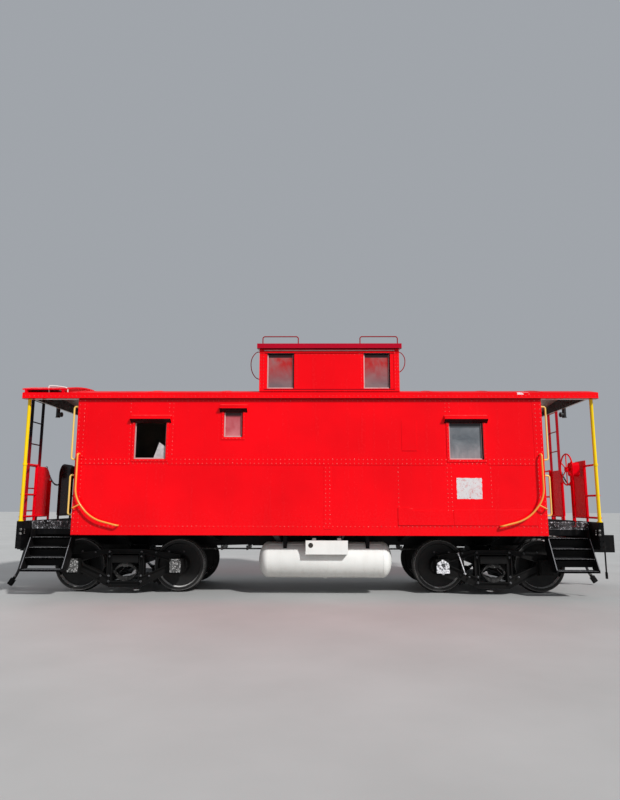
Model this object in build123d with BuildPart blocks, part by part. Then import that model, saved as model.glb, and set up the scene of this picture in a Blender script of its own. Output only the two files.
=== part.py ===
from build123d import *

import math
import os

# Caboose on two trucks, in millimetres. X runs along the car, Y across it, Z up.
# The origin is midway between the trucks, on the centre line, level with the wheel flanges.
# End A is the -X end and end B the +X end. End B is end A turned half round the Z axis.

# Running gear
wheel_radius = 419.1
flange_height = 25.4
flange_width = 32.0
wheel_width = 139.7
wheel_back_spacing = 1353.0
rim_thickness = 58.0
web_thickness = 28.0
web_dish = 34.0
web_rim_dish = 52.0
hub_radius = 135.0
hub_width = 178.0
axle_radius = 82.5
seat_radius = 74.0
journal_radius = 63.5
journal_spacing = 1956.0
journal_length = 210.0
truck_wheelbase = 1676.4
truck_setback = 782.0
bearing_clearance = 0.2
seat_gap = 0.3

# Truck side frame, with heights from the axle's centre
frame_thickness = 130.0
chord_rise = 268.5
chord_drop = 80.0
chord_depth = 72.0
column_inner = 222.0
column_width = 84.0
spring_seat_drop = 239.5
spring_seat_depth = 99.0
spring_seat_half = 250.0
diagonal_depth = 92.0
frame_recess = 34.0
frame_rib = 16.0
box_half_width = 108.0
box_half_height = 122.0
box_inner_reach = 93.0
box_outer_reach = 134.0
box_lid_thickness = 18.0

# Truck bolster, plank, springs and brakes, with heights from the axle's centre
bolster_half_width = 214.0
bolster_neck_half_width = 170.0
bolster_end_low = 55.5
bolster_end_high = 170.5
bolster_middle_low = -14.5
bolster_arm_y = 520.0
bowl_radius = 190.0
bowl_rise = 2.0
plank_half_width = 150.0
plank_depth = 45.0
leaf_count = 5
leaf_thickness = 11.0
leaf_width = 100.0
leaf_half_span = 186.0
leaf_step = 24.0
buckle_height = 70.0
shoe_gap = 8.0
shoe_thickness = 38.0
shoe_width = 76.0
brake_head_depth = 45.0
brake_beam_radius = 30.0
brake_beam_drop = 216.5
brake_strut_length = 150.0
beam_setback = 28.1

# Underframe
centre_plate_radius = 175.0
centre_plate_depth = 20.0
centre_sill_half_width = 165.0
centre_sill_depth = 310.0
sill_plate = 16.0
body_bolster_half_width = 130.0
side_sill_width = 80.0
side_sill_depth = 83.0
side_sill_flange = 10.0
bearer_thickness = 90.0
bearer_depth_at_sill = 250.0
bearer_clearance = 60.0
platform_length = 806.0
platform_beam_width = 60.0
platform_beam_depth = 94.0
end_sill_thickness = 80.0
end_sill_inset = 30.0
end_sill_drop = 300.0
end_sill_rise = 130.0
coupler_gate_half_width = 150.0
coupler_gate_drop = 95.0
striker_rim = 40.0

# Body
body_half_length = 3794.0
body_half_width = 1450.0
wall_thickness = 80.0
wall_height = 2111.0
floor_thickness = 90.0
roof_overhang = 50.0
canopy_reach = 34.0
roof_edge_depth = 100.0
roof_rise = 200.0
roof_thickness = 60.0
ceiling_edge_rise = 34.0
fascia_thickness = 40.0
fascia_low = 49.0
# Side windows: low x, high x, low z, high z above the frame, on the near side only
side_windows = (
    (-2839.0, -2322.0, 1124.0, 1737.0, False),
    (-1383.0, -1078.0, 1483.0, 1911.0, True),
    (2276.0, 2831.0, 1121.0, 1736.0, False),
)
pane_thickness = 6.0
shard_width = 130.0
shard_height = 275.0
shard_side = 190.0
shard_lean = 118.0
pane_setback = 50.0
window_frame_width = 42.0
window_frame_proud = 10.0
hood_reach = 80.0
hood_thickness = 12.0
hood_overhang = 74.0
hood_drop = 24.0
hood_flare = 60.0

# End doors and end windows, with heights above the floor
door_half_width = 355.0
door_height = 1890.0
door_thickness = 45.0
door_gap = 6.0
door_set_in = 6.0
door_window_half_width = 190.0
door_window_low = 1145.0
door_window_high = 1695.0
door_panel_low = 210.0
door_panel_high = 910.0
door_panel_depth = 10.0
knob_height = 985.0
knob_inset = 60.0
knob_radius = 26.0
knob_thickness = 24.0
knob_reach = 34.0
hinge_setback = 16.0
hinge_barrel_radius = 14.0
hinge_pin_radius = 6.0
hinge_pin_clearance = 0.2
hinge_length = 110.0
hinge_lug = 12.0
hinge_gap = 0.5
hinge_heights = (345.0, 1665.0)
# End window: low y, high y, low z, high z above the floor
end_window = (700.0, 1120.0, 1105.0, 1645.0)

# Cupola, with heights above the side walls' top
cupola_low_x = -820.0
cupola_high_x = 1495.0
cupola_wall = 70.0
cupola_height = 854.0
cupola_ceiling_rise = 85.0
cupola_roof_edge = 68.0
cupola_roof_rise = 155.0
cupola_roof_overhang = 38.0
cupola_roof_side_overhang = 70.0
cupola_ledge = 10.0
# Cupola side windows: low x, high x, low z, high z
cupola_windows = (
    (-690.0, -244.0, 176.0, 776.0),
    (907.0, 1344.0, 176.0, 776.0),
)
# Cupola end windows: low y, high y, low z, high z
cupola_end_windows = (
    (-900.0, -300.0, 344.0, 754.0),
    (300.0, 900.0, 344.0, 754.0),
)
moulding_depth = 16.0
# Mouldings along the cupola's sides: low z, high z
cupola_mouldings = ((776.0, 802.0), (128.0, 150.0))
corner_strip_width = 90.0
corner_strip_depth = 7.0

# Platforms
step_depth = 410.0
deck_thickness = 30.0
deck_bar = 6.0
deck_pitch = 92.0
deck_frame = 40.0
step_inset = 86.0
step_width = 650.0
stringer_thickness = 12.0
stringer_head = 150.0
tread_thickness = 26.0
tread_depth = 220.0
riser_thickness = 8.0
riser_gap = 45.0
# Step treads: drop of the top from the frame's top, reach of the outer edge from the platform beam
step_treads = (
    (620.0, 460.0),
    (445.0, 350.0),
    (295.0, 240.0),
    (135.0, 140.0),
)
post_inset_x = 12.0
post_inset_y = 42.0
post_radius = 28.0
post_collar_rise = 915.0
plate_thickness = 8.0
plate_inner_y = 200.0
plate_outer_y = 810.0
plate_foot_gap = 67.0
plate_corner_radius = 230.0
# Railing plates: side of the car at end B, height above the end sill
plate_heights = ((-1, 1025.0), (1, 918.0))
rail_radius = 17.0
stanchion_radius = 20.0
rail_rises = (65.0, 425.0, 925.0)
rail_bend = 78.0
foot_drop = 90.0
weld_depth = 2.0
chain_rise = 940.0
chain_sag = 320.0
# Ends of the safety chain across end B: at the ladder's plate, at the brake's plate
chain_ends_y = (350.0, -650.0)
chain_radius = 9.0
ladder_reach = 110.0
ladder_inner_y = 515.0
ladder_outer_y = 930.0
ladder_drop = 175.0
ladder_rise = 244.0
ladder_rungs = 6
first_rung_rise = 330.0
last_rung_drop = 170.0
stile_width = 50.0
stile_thickness = 12.0
rung_radius = 11.0
lamp_reach = 34.0
lamp_radius = 62.0
lamp_drop = 356.0
lamp_stem_radius = 16.0

# Hand brakes
brake_y = 650.0
brake_wheel_rise = 877.0
brake_wheel_setback = 144.0
brake_shaft_reach = 32.0
brake_wheel_radius = 279.0
brake_rim_radius = 13.0
brake_hub_radius = 46.0
brake_hub_width = 44.0
brake_spokes = 6
brake_spoke_radius = 9.0
brake_spoke_inner = 30.0
brake_housing_width = 190.0
brake_housing_height = 230.0
brake_housing_depth = 130.0
brake_rod_radius = 12.0

# Handrails
grab_radius = 14.0
side_grab_reach = 80.0
# Side grab's line on the wall at a platform: inset from the body's end, height above the frame
side_grab_line = ((66.0, 1207.0), (66.0, 497.0), (335.0, 176.0), (755.0, 68.0))
side_grab_bends = (470.0, 600.0)
brace_low = (24.0, 335.0)
brace_high = (148.0, 399.0)
end_grab_reach = 81.0
end_grab_inset = 50.0
# End grabs: low z, high z above the frame
end_grabs = ((235.0, 868.0), (1121.0, 1990.0))
running_board_inner_y = 250.0
running_board_inset = 196.0
running_board_overhang = 6.0
running_board_rise = 46.0
running_board_thickness = 24.0
running_board_bracket = 40.0
cupola_grab_y = 1400.0
cupola_grab_rise = 147.0
cupola_grab_radius = 9.0
# Cupola roof grabs: low x, high x
cupola_grabs = ((-773.0, -179.0), (854.0, 1480.0))

# Fuel tank
tank_low_x = -819.0
tank_high_x = 1363.0
tank_radius = 288.0
tank_side_inset = 102.0
tank_top_drop = 203.0
tank_knuckle = 60.0
tank_crown = 520.0
strap_x = (-384.0, 954.0)
strap_width = 60.0
strap_thickness = 8.0
strap_reach = 216.0
strap_flange = 16.0
valve_radius = 34.0
valve_stem_radius = 26.0
valve_cap_radius = 44.0
cover_low_x = -46.0
cover_high_x = 627.0
cover_drop = 165.0
cover_height = 216.0
cover_reach = 5.0
cover_depth = 120.0
cover_wall = 6.0
cover_hole_inset = 80.0
cover_hole_drop = 76.0
cover_hole_radius = 40.0
cover_hinge_x = (90.0, 490.0)
cover_pin_rise = 22.0
cover_pin_inset = 45.0
cover_pin_radius = 8.0
cover_barrel_radius = 15.0
cover_barrel_length = 60.0
cover_lug = 14.0
cover_lug_gap = 1.0
cover_pin_clearance = 0.2
bracket_plate = 12.0

# Air brake gear
gear_clearance = 60.0
cylinder_y = 620.0
cylinder_drop = 245.0
cylinder_radius = 130.0
cylinder_length = 420.0
cylinder_flange = 24.0
cylinder_rod_radius = 24.0
reservoir_y = 760.0
reservoir_drop = 275.0
reservoir_radius = 190.0
reservoir_corner = 60.0
hanger_width = 60.0

# Couplers and hoses
coupler_rise = 35.0
coupler_reach = 360.0
coupler_half_height = 150.0
coupler_nose_reach = 360.0
shank_half_width = 65.0
shank_length = 790.0
draft_gear_length = 520.0
draft_gear_overlap = 60.0
draft_gear_rise = 20.0
knuckle_pin_reach = 100.0
knuckle_pin_y = 105.0
knuckle_pin_radius = 20.0
knuckle_radius = 58.0
knuckle_slot_half_height = 120.0
knuckle_half_height = 114.0
knuckle_pin_clearance = 0.3
lever_radius = 12.0
lever_reach = 30.0
lever_kink = 36.0
lever_drop = 270.0
lever_end_inset = 90.0
lever_length = 605.0
lever_bracket_y = (420.0, 1180.0)
hose_y = 330.0
hose_radius = 24.0
# Hose centre line: reach from the end sill's outer face, height
hose_points = (
    (280.0, 746.0),
    (316.0, 690.0),
    (343.0, 620.0),
    (364.0, 530.0),
    (385.0, 430.0),
    (410.0, 330.0),
    (440.0, 240.0),
    (480.0, 180.0),
)
hose_end_collar = 6.0
cock_length = 70.0
pipe_half_width = 23.0
pipe_rise = 60.0
glad_hand_length = 150.0

# Heights worked up from the wheels
axle_height = wheel_radius + flange_height
chord_top = axle_height + chord_rise
spring_seat_top = axle_height - spring_seat_drop
spring_seat_bottom = spring_seat_top - spring_seat_depth
bolster_end_bottom = axle_height + bolster_end_low
bolster_end_top = axle_height + bolster_end_high
bolster_middle_bottom = axle_height + bolster_middle_low
centre_plate_z = chord_top + bowl_rise
centre_sill_bottom = centre_plate_z + centre_plate_depth
frame_top = centre_sill_bottom + centre_sill_depth
side_sill_bottom = frame_top - side_sill_depth
platform_beam_bottom = frame_top - platform_beam_depth
end_sill_bottom = frame_top - end_sill_drop
end_sill_top = frame_top + end_sill_rise
floor_top = frame_top + floor_thickness
door_top = floor_top + door_height
deck_top = frame_top + deck_thickness
wall_top = frame_top + wall_height
roof_edge_top = wall_top + roof_edge_depth
roof_crown = roof_edge_top + roof_rise
roof_inner_edge = wall_top + ceiling_edge_rise
roof_inner_crown = roof_crown - roof_thickness
cupola_wall_top = wall_top + cupola_height
cupola_ceiling_crown = cupola_wall_top + cupola_ceiling_rise
coupler_z = centre_sill_bottom + coupler_rise
coupler_gate_bottom = coupler_z - shank_half_width
coupler_gate_top = frame_top - coupler_gate_drop
carrier_bottom = coupler_gate_bottom - striker_rim
brake_z = end_sill_top + brake_wheel_rise
lever_z = end_sill_top - lever_drop

# Places along the car
truck_x = body_half_length - truck_setback
half_wheelbase = truck_wheelbase / 2
end_wall_inner_x = body_half_length - wall_thickness
end_sill_inner_x = body_half_length + platform_length
end_sill_outer_x = end_sill_inner_x + end_sill_thickness
roof_half_length = end_sill_outer_x + canopy_reach
outer_bearer_x = truck_x - half_wheelbase - axle_height - bearer_clearance - bearer_thickness / 2
bearer_pitch = 2 * outer_bearer_x / 3
bearer_x = [-outer_bearer_x + place * bearer_pitch for place in range(4)]
bay_length = bearer_pitch - bearer_thickness - 2 * gear_clearance
post_x = end_sill_outer_x - post_radius - post_inset_x
rail_x = end_sill_outer_x + stanchion_radius
plate_back_x = rail_x + rail_radius - weld_depth
plate_x = plate_back_x + plate_thickness / 2
ladder_x = end_sill_outer_x + ladder_reach
lamp_x = roof_half_length + lamp_reach
step_inner_x = body_half_length + step_inset
step_outer_x = step_inner_x + step_width
brake_wheel_x = end_sill_inner_x - brake_wheel_setback
coupler_head_x = end_sill_outer_x + coupler_reach
shank_inner_x = coupler_head_x - shank_length
draft_gear_x = shank_inner_x + draft_gear_overlap - draft_gear_length / 2
pin_x = coupler_head_x + knuckle_pin_reach
brake_beam_x = half_wheelbase - wheel_radius - shoe_gap - shoe_thickness - beam_setback

# Places across the car
journal_y = journal_spacing / 2
wheel_inner_y = wheel_back_spacing / 2
wheel_outer_y = wheel_inner_y + wheel_width
frame_inner_y = journal_y - frame_thickness / 2
frame_outer_y = journal_y + frame_thickness / 2
journal_end_y = journal_y + journal_length / 2
box_inner_y = journal_y - box_inner_reach
box_outer_y = journal_y + box_outer_reach
wall_inner_y = body_half_width - wall_thickness
side_sill_inner = wall_inner_y - side_sill_width
roof_half_width = body_half_width + roof_overhang
cupola_inner_y = body_half_width - cupola_wall
cupola_roof_half_width = body_half_width + cupola_roof_side_overhang
end_sill_half_width = body_half_width - end_sill_inset
platform_beam_outer = body_half_width - step_depth
platform_beam_inner = platform_beam_outer - platform_beam_width
post_y = end_sill_half_width - post_inset_y
side_grab_y = body_half_width + side_grab_reach
end_grab_y = body_half_width - end_grab_inset
end_grab_x = body_half_length + end_grab_reach
lever_end_y = end_sill_half_width - lever_end_inset
tank_y = tank_side_inset + tank_radius - wall_inner_y
tank_z = frame_top - tank_top_drop - tank_radius
cover_front_y = -wall_inner_y - cover_reach
cover_back_y = cover_front_y + cover_depth
cover_top = frame_top - cover_drop
cover_bottom = cover_top - cover_height
ends = (("a", 180), ("b", 0))

os.makedirs("parts", exist_ok=True)


def save(piece, name):
    """Label a finished piece and write its file."""
    piece.label = name
    export_step(piece, f"parts/{name}.step")


def turned(piece, angle):
    """The piece turned about the Z axis: end B pieces become end A pieces at 180 degrees."""
    return piece.rotate(Axis.Z, angle)


def bar(points, bend_radius, bar_radius):
    """Round bar along a bent line."""
    with BuildPart() as piece:
        with BuildLine() as route:
            if len(points) > 2:
                FilletPolyline(*points, radius=bend_radius)
            else:
                Line(*points)
        with BuildSketch(Plane(origin=route.line @ 0, z_dir=route.line % 0)):
            Circle(bar_radius)
        sweep()
    return piece.part


def block(low, high):
    """Rectangular block between two corners."""
    size = [top - bottom for bottom, top in zip(low, high)]
    middle = [(top + bottom) / 2 for bottom, top in zip(low, high)]
    with BuildPart() as piece:
        with Locations(tuple(middle)):
            Box(*size)
    return piece.part


def under_arch(half_width, edge_z, crown_z, base_z):
    """Face across the car below a roof arch, in Y and Z."""
    with BuildSketch() as face:
        with BuildLine():
            ThreePointArc((-half_width, edge_z), (0, crown_z), (half_width, edge_z))
            Polyline(
                (half_width, edge_z),
                (half_width, base_z),
                (-half_width, base_z),
                (-half_width, edge_z),
            )
        make_face()
    return face.sketch


# Wheelset: axle, journals and two dished wheels turned as one
with BuildPart() as wheelset:
    with BuildSketch(Plane(origin=(0, 0, axle_height), x_dir=(0, 1, 0), z_dir=(1, 0, 0))):
        with BuildLine():
            Polyline(
                (0, 0),
                (0, axle_radius - 8),
                (wheel_inner_y - 90, axle_radius),
                (wheel_inner_y - 20, axle_radius),
                (wheel_inner_y - 20, hub_radius),
                (wheel_inner_y + web_dish, hub_radius + 22),
                (wheel_inner_y + web_rim_dish, wheel_radius - rim_thickness - 14),
                (wheel_inner_y, wheel_radius - rim_thickness),
                (wheel_inner_y, wheel_radius + 10),
                (wheel_inner_y + 10, wheel_radius + flange_height),
                (wheel_inner_y + 20, wheel_radius + flange_height),
                (wheel_inner_y + flange_width, wheel_radius + 2),
                (wheel_inner_y + flange_width + 8, wheel_radius),
                (wheel_outer_y - 8, wheel_radius - 3),
                (wheel_outer_y, wheel_radius - 10),
                (wheel_outer_y, wheel_radius - rim_thickness),
                (
                    wheel_inner_y + web_rim_dish + web_thickness,
                    wheel_radius - rim_thickness - 14,
                ),
                (wheel_inner_y + web_dish + web_thickness, hub_radius + 30),
                (wheel_inner_y + hub_width - 24, hub_radius),
                (wheel_inner_y + hub_width - 20, hub_radius - 6),
                (wheel_inner_y + hub_width - 20, seat_radius),
                (box_inner_y - 8, seat_radius),
                (box_inner_y - 8, journal_radius),
                (journal_end_y - 4, journal_radius),
                (journal_end_y, journal_radius - 4),
                (journal_end_y, 0),
                close=True,
            )
        make_face()
        mirror(about=Plane.YZ)
    revolve(axis=Axis((0, 0, axle_height), (0, 1, 0)))

for number, wheelset_x in enumerate(
    (
        -truck_x - half_wheelbase,
        -truck_x + half_wheelbase,
        truck_x - half_wheelbase,
        truck_x + half_wheelbase,
    ),
    start=1,
):
    save(wheelset.part.moved(Location((wheelset_x, 0, 0))), f"wheelset_{number}")

# Truck side frame: cast truss with journal boxes, an open bolster window and two open panels
box_low = axle_height - box_half_height
box_high = axle_height + box_half_height
box_face_x = half_wheelbase - box_half_width
chord_end_top = chord_top - chord_drop
diagonal_high = chord_end_top - chord_depth - 40
with BuildPart() as side_frame:
    with BuildSketch(Plane.XZ.offset(frame_inner_y)) as truss:
        with BuildLine():
            Polyline(
                (0, chord_top),
                (column_inner + column_width, chord_top),
                (half_wheelbase + 60, chord_end_top),
                (half_wheelbase + 60, box_low + 40),
                (box_face_x, box_low + 20),
                (spring_seat_half, spring_seat_bottom),
                (0, spring_seat_bottom),
                close=True,
            )
        make_face()
        with BuildLine():
            Polyline(
                (0, spring_seat_top),
                (column_inner, spring_seat_top),
                (column_inner, chord_top - chord_depth),
                (0, chord_top - chord_depth),
                close=True,
            )
        make_face(mode=Mode.SUBTRACT)
        with BuildLine():
            Polyline(
                (column_inner + column_width, chord_top - chord_depth),
                (box_face_x - 20, diagonal_high),
                (box_face_x - 40, axle_height + 20),
                (column_inner + column_width, spring_seat_top + diagonal_depth),
                close=True,
            )
        make_face(mode=Mode.SUBTRACT)
        mirror(about=Plane.YZ)
    extrude(amount=frame_thickness)
    # The outer face is hollowed between the ribs that run round its edges
    with BuildSketch(Plane.XZ.offset(frame_outer_y)) as hollow:
        add(truss.sketch_local)
        offset(amount=-frame_rib, kind=Kind.INTERSECTION)
    extrude(amount=-frame_recess, mode=Mode.SUBTRACT)
    for side in (-1, 1):
        with Locations((side * half_wheelbase, -(box_inner_y + box_outer_y) / 2, axle_height)):
            Box(2 * box_half_width, box_outer_y - box_inner_y, 2 * box_half_height)
        # Lid with its hinge barrel
        with BuildSketch(Plane.XZ.offset(box_outer_y)):
            with Locations((side * half_wheelbase, axle_height)):
                RectangleRounded(2 * box_half_width - 20, 2 * box_half_height - 30, 26)
        extrude(amount=box_lid_thickness, taper=18)
        with Locations(
            Location((side * half_wheelbase, -box_outer_y, box_high - 12), (0, 90, 0))
        ):
            Cylinder(14, 110)
        # Journal bore, blind behind the lid
        with BuildSketch(Plane.XZ.offset(box_inner_y)):
            with Locations((side * half_wheelbase, axle_height)):
                Circle(journal_radius + bearing_clearance)
        extrude(amount=journal_end_y + 6 - box_inner_y, mode=Mode.SUBTRACT)
    mirror(about=Plane.XZ)

with BuildPart() as spring_plank:
    with BuildSketch(Plane.XY.offset(spring_seat_top - plank_depth)):
        Rectangle(2 * plank_half_width, 2 * frame_inner_y)
    extrude(amount=plank_depth)
    with BuildSketch(Plane.XY.offset(spring_seat_top - plank_depth)):
        Rectangle(2 * plank_half_width - 40, 2 * frame_inner_y - 80)
    extrude(amount=plank_depth - 18, mode=Mode.SUBTRACT)

with BuildPart() as truck_frame:
    add(side_frame.part)
    add(spring_plank.part)

# Truck bolster with centre bowl and side bearings
with BuildPart() as truck_bolster:
    with BuildSketch(Plane.YZ.offset(-bolster_half_width)):
        with BuildLine():
            Polyline(
                (0, bolster_middle_bottom),
                (bolster_arm_y, bolster_middle_bottom),
                (frame_inner_y - 40, bolster_end_bottom),
                (frame_outer_y + 20, bolster_end_bottom),
                (frame_outer_y + 20, bolster_end_top),
                (frame_inner_y - 40, bolster_end_top),
                (bolster_arm_y, chord_top - 60),
                (bowl_radius + 40, chord_top - 60),
                (bowl_radius, centre_plate_z - seat_gap),
                (0, centre_plate_z - seat_gap),
                close=True,
            )
        make_face()
        mirror(about=Plane.YZ)
    extrude(amount=2 * bolster_half_width)
    # Fish-bellied sides narrow the beam away from the columns
    with BuildSketch(Plane.XY.offset(bolster_middle_bottom)):
        with BuildLine():
            Polyline(
                (bolster_half_width, frame_inner_y - 30),
                (bolster_half_width, -(frame_inner_y - 30)),
                (bolster_neck_half_width, -(frame_inner_y - 110)),
                (bolster_neck_half_width, frame_inner_y - 110),
                close=True,
            )
        make_face()
        mirror(about=Plane.YZ)
    extrude(amount=chord_top - bolster_middle_bottom + 60, mode=Mode.SUBTRACT)


def leaf_pack(seat_z, tip_z, direction):
    """Bowed leaves of one half of an elliptic spring, from its seat to its tips, in X and Z."""
    rise = abs(tip_z - seat_z) - leaf_count * leaf_thickness
    radius = (leaf_half_span**2 + rise**2) / (2 * rise)
    centre_z = tip_z - direction * (radius - rise)
    with BuildSketch() as pack:
        for layer in range(leaf_count):
            inner = radius + layer * leaf_thickness
            outer = inner + leaf_thickness
            half_angle = math.asin((leaf_half_span - layer * leaf_step) / inner)
            ring = [
                (
                    size * math.sin(turn * half_angle),
                    centre_z + direction * size * math.cos(turn * half_angle),
                )
                for size, turn in (
                    (inner, -1),
                    (inner, 0),
                    (inner, 1),
                    (outer, 1),
                    (outer, 0),
                    (outer, -1),
                )
            ]
            with BuildLine():
                ThreePointArc(ring[0], ring[1], ring[2])
                Line(ring[2], ring[3])
                ThreePointArc(ring[3], ring[4], ring[5])
                Line(ring[5], ring[0])
            make_face()
    return pack.sketch


# Elliptic springs, one pair of leaf packs under each bolster end
spring_middle = (spring_seat_top + bolster_end_bottom) / 2
upper_pack = leaf_pack(bolster_end_bottom, spring_middle, 1)
lower_pack = leaf_pack(spring_seat_top, spring_middle, -1)
with BuildPart() as truck_springs:
    for side in (-1, 1):
        with BuildSketch(Plane.XZ.offset(-side * journal_y - leaf_width / 2)):
            add(upper_pack)
            add(lower_pack)
            with Locations((-leaf_half_span + 6, spring_middle), (leaf_half_span - 6, spring_middle)):
                Circle(16)
        extrude(amount=leaf_width)
        # Buckle round the middle of each pack
        for low, high in (
            (spring_seat_top, spring_seat_top + buckle_height),
            (bolster_end_bottom - buckle_height, bolster_end_bottom),
        ):
            with Locations((0, side * journal_y, (low + high) / 2)):
                Box(84, leaf_width + 16, high - low)


def brake_shoe_ring(inner, outer, low_angle, high_angle):
    """Ring segment below the axle on the truck's inner side of a wheel, in X and Z."""
    corners = [
        (
            half_wheelbase - size * math.cos(math.radians(angle)),
            axle_height - size * math.sin(math.radians(angle)),
        )
        for size, angle in (
            (inner, low_angle),
            (inner, (low_angle + high_angle) / 2),
            (inner, high_angle),
            (outer, high_angle),
            (outer, (low_angle + high_angle) / 2),
            (outer, low_angle),
        )
    ]
    with BuildSketch() as ring:
        with BuildLine():
            ThreePointArc(corners[0], corners[1], corners[2])
            Line(corners[2], corners[3])
            ThreePointArc(corners[3], corners[4], corners[5])
            Line(corners[5], corners[0])
        make_face()
    return ring.sketch


# Brake beams with their heads and shoes, inside the wheels
shoe_inner = wheel_radius + shoe_gap
brake_beam_z = axle_height - brake_beam_drop
strut_tip_x = brake_beam_x - brake_strut_length
shoe_ring = brake_shoe_ring(shoe_inner, shoe_inner + shoe_thickness, 6, 44)
head_ring = brake_shoe_ring(
    shoe_inner + shoe_thickness, shoe_inner + shoe_thickness + brake_head_depth, 14, 36
)
shoe_inner_y = wheel_inner_y + flange_width + 14
with BuildPart() as brake_beams:
    with BuildSketch(Plane.XZ.offset(-frame_inner_y)):
        with Locations((brake_beam_x, brake_beam_z)):
            Circle(brake_beam_radius)
    extrude(amount=2 * frame_inner_y)
    for low_y in (shoe_inner_y, -shoe_inner_y - shoe_width):
        with BuildSketch(Plane.XZ.offset(-low_y - shoe_width)):
            add(shoe_ring)
            add(head_ring)
        extrude(amount=shoe_width)
    # Truss strut and rods of the beam
    with BuildSketch(Plane.XY.offset(brake_beam_z - 12)):
        with BuildLine():
            Polyline(
                (brake_beam_x, shoe_inner_y),
                (strut_tip_x, 24),
                (strut_tip_x, -24),
                (brake_beam_x, -shoe_inner_y),
                (brake_beam_x, -shoe_inner_y + 50),
                (strut_tip_x + 28, 0),
                (brake_beam_x, shoe_inner_y - 50),
                close=True,
            )
        make_face()
        with Locations((brake_beam_x - brake_strut_length / 2, 0)):
            Rectangle(brake_strut_length, 40)
    extrude(amount=24)
    mirror(about=Plane.YZ)

for name, side in (("a", -1), ("b", 1)):
    place = Location((side * truck_x, 0, 0))
    save(truck_frame.part.moved(place), f"truck_frame_{name}")
    save(truck_bolster.part.moved(place), f"truck_bolster_{name}")
    save(truck_springs.part.moved(place), f"truck_springs_{name}")
    save(brake_beams.part.moved(place), f"brake_beams_{name}")

# Underframe: open-bottomed centre sill, side sills, platform beams and end sills
channel_half_width = centre_sill_half_width - sill_plate
striker_half_width = coupler_gate_half_width + striker_rim
with BuildPart() as end_frame:
    # End sill with its striker casting and the carrier that the coupler's shank rests on
    add(
        block(
            (end_sill_inner_x, -end_sill_half_width, end_sill_bottom),
            (end_sill_outer_x, end_sill_half_width, end_sill_top),
        )
    )
    add(
        block(
            (end_sill_inner_x - striker_rim / 2, -striker_half_width, carrier_bottom),
            (end_sill_outer_x + striker_rim, striker_half_width, coupler_gate_top + striker_rim),
        )
    )
    for side in (-1, 1):
        low_y, high_y = sorted((side * platform_beam_inner, side * platform_beam_outer))
        add(
            block(
                (truck_x + body_bolster_half_width, low_y, platform_beam_bottom),
                (end_sill_inner_x, high_y, frame_top),
            )
        )
    # Centre sill's half length, up to the car's middle
    add(
        block(
            (0, -centre_sill_half_width, centre_sill_bottom),
            (end_sill_inner_x, centre_sill_half_width, frame_top),
        )
    )
    add(
        block(
            (0, -channel_half_width, centre_sill_bottom),
            (end_sill_inner_x, channel_half_width, frame_top - sill_plate),
        ),
        mode=Mode.SUBTRACT,
    )
    # Gate for the coupler through end sill and striker
    add(
        block(
            (end_sill_inner_x - striker_rim, -coupler_gate_half_width, coupler_gate_bottom),
            (end_sill_outer_x + 2 * striker_rim, coupler_gate_half_width, coupler_gate_top),
        ),
        mode=Mode.SUBTRACT,
    )
    # Centre filler above the centre plate
    add(
        block(
            (truck_x - body_bolster_half_width, -channel_half_width, centre_sill_bottom),
            (truck_x + body_bolster_half_width, channel_half_width, frame_top - sill_plate),
        )
    )
    with BuildSketch(Plane.XY.offset(centre_plate_z)):
        with Locations((truck_x, 0)):
            Circle(centre_plate_radius)
    extrude(amount=centre_plate_depth)
with BuildPart() as underframe:
    add(end_frame.part)
    add(turned(end_frame.part, 180))
    # Side sills: channels open inwards
    with BuildSketch(Plane.YZ.offset(-body_half_length)):
        with Locations(((side_sill_inner + wall_inner_y) / 2, frame_top - side_sill_depth / 2)):
            Rectangle(side_sill_width, side_sill_depth)
        with Locations(
            (
                (side_sill_inner + wall_inner_y) / 2 - side_sill_flange,
                frame_top - side_sill_depth / 2,
            )
        ):
            Rectangle(
                side_sill_width, side_sill_depth - 2 * side_sill_flange, mode=Mode.SUBTRACT
            )
        mirror(about=Plane.YZ)
    extrude(amount=2 * body_half_length)
save(underframe.part, "underframe")

# Body bolsters and lighter bearers between centre sill and side sills, tapering outwards
with BuildPart() as cross_bearers:
    for centre, half, depth in [
        (-truck_x, body_bolster_half_width, centre_sill_depth),
        (truck_x, body_bolster_half_width, centre_sill_depth),
    ] + [(x, bearer_thickness / 2, bearer_depth_at_sill) for x in bearer_x]:
        with BuildSketch(Plane.YZ.offset(centre - half)):
            with BuildLine():
                Polyline(
                    (centre_sill_half_width, frame_top - depth),
                    (side_sill_inner, side_sill_bottom),
                    (side_sill_inner, frame_top),
                    (centre_sill_half_width, frame_top),
                    close=True,
                )
            make_face()
            mirror(about=Plane.YZ)
        extrude(amount=2 * half)
save(cross_bearers.part, "cross_bearers")

save(
    block(
        (-body_half_length, -wall_inner_y, frame_top),
        (body_half_length, wall_inner_y, floor_top),
    ),
    "floor",
)

# Side walls with their windows
window_openings = [
    (low_x, high_x, frame_top + low_z, frame_top + high_z, near_only)
    for low_x, high_x, low_z, high_z, near_only in side_windows
]
for name, side in (("near", -1), ("far", 1)):
    with BuildPart() as side_wall:
        with BuildSketch(Plane.XZ.offset(-side * wall_inner_y)):
            with Locations((0, (side_sill_bottom + wall_top) / 2)):
                Rectangle(2 * body_half_length, wall_top - side_sill_bottom)
            for low_x, high_x, low_z, high_z, near_only in window_openings:
                if name == "near" or not near_only:
                    with Locations(((low_x + high_x) / 2, (low_z + high_z) / 2)):
                        Rectangle(high_x - low_x, high_z - low_z, mode=Mode.SUBTRACT)
        extrude(amount=-side * wall_thickness)
    save(side_wall.part, f"side_wall_{name}")

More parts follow.
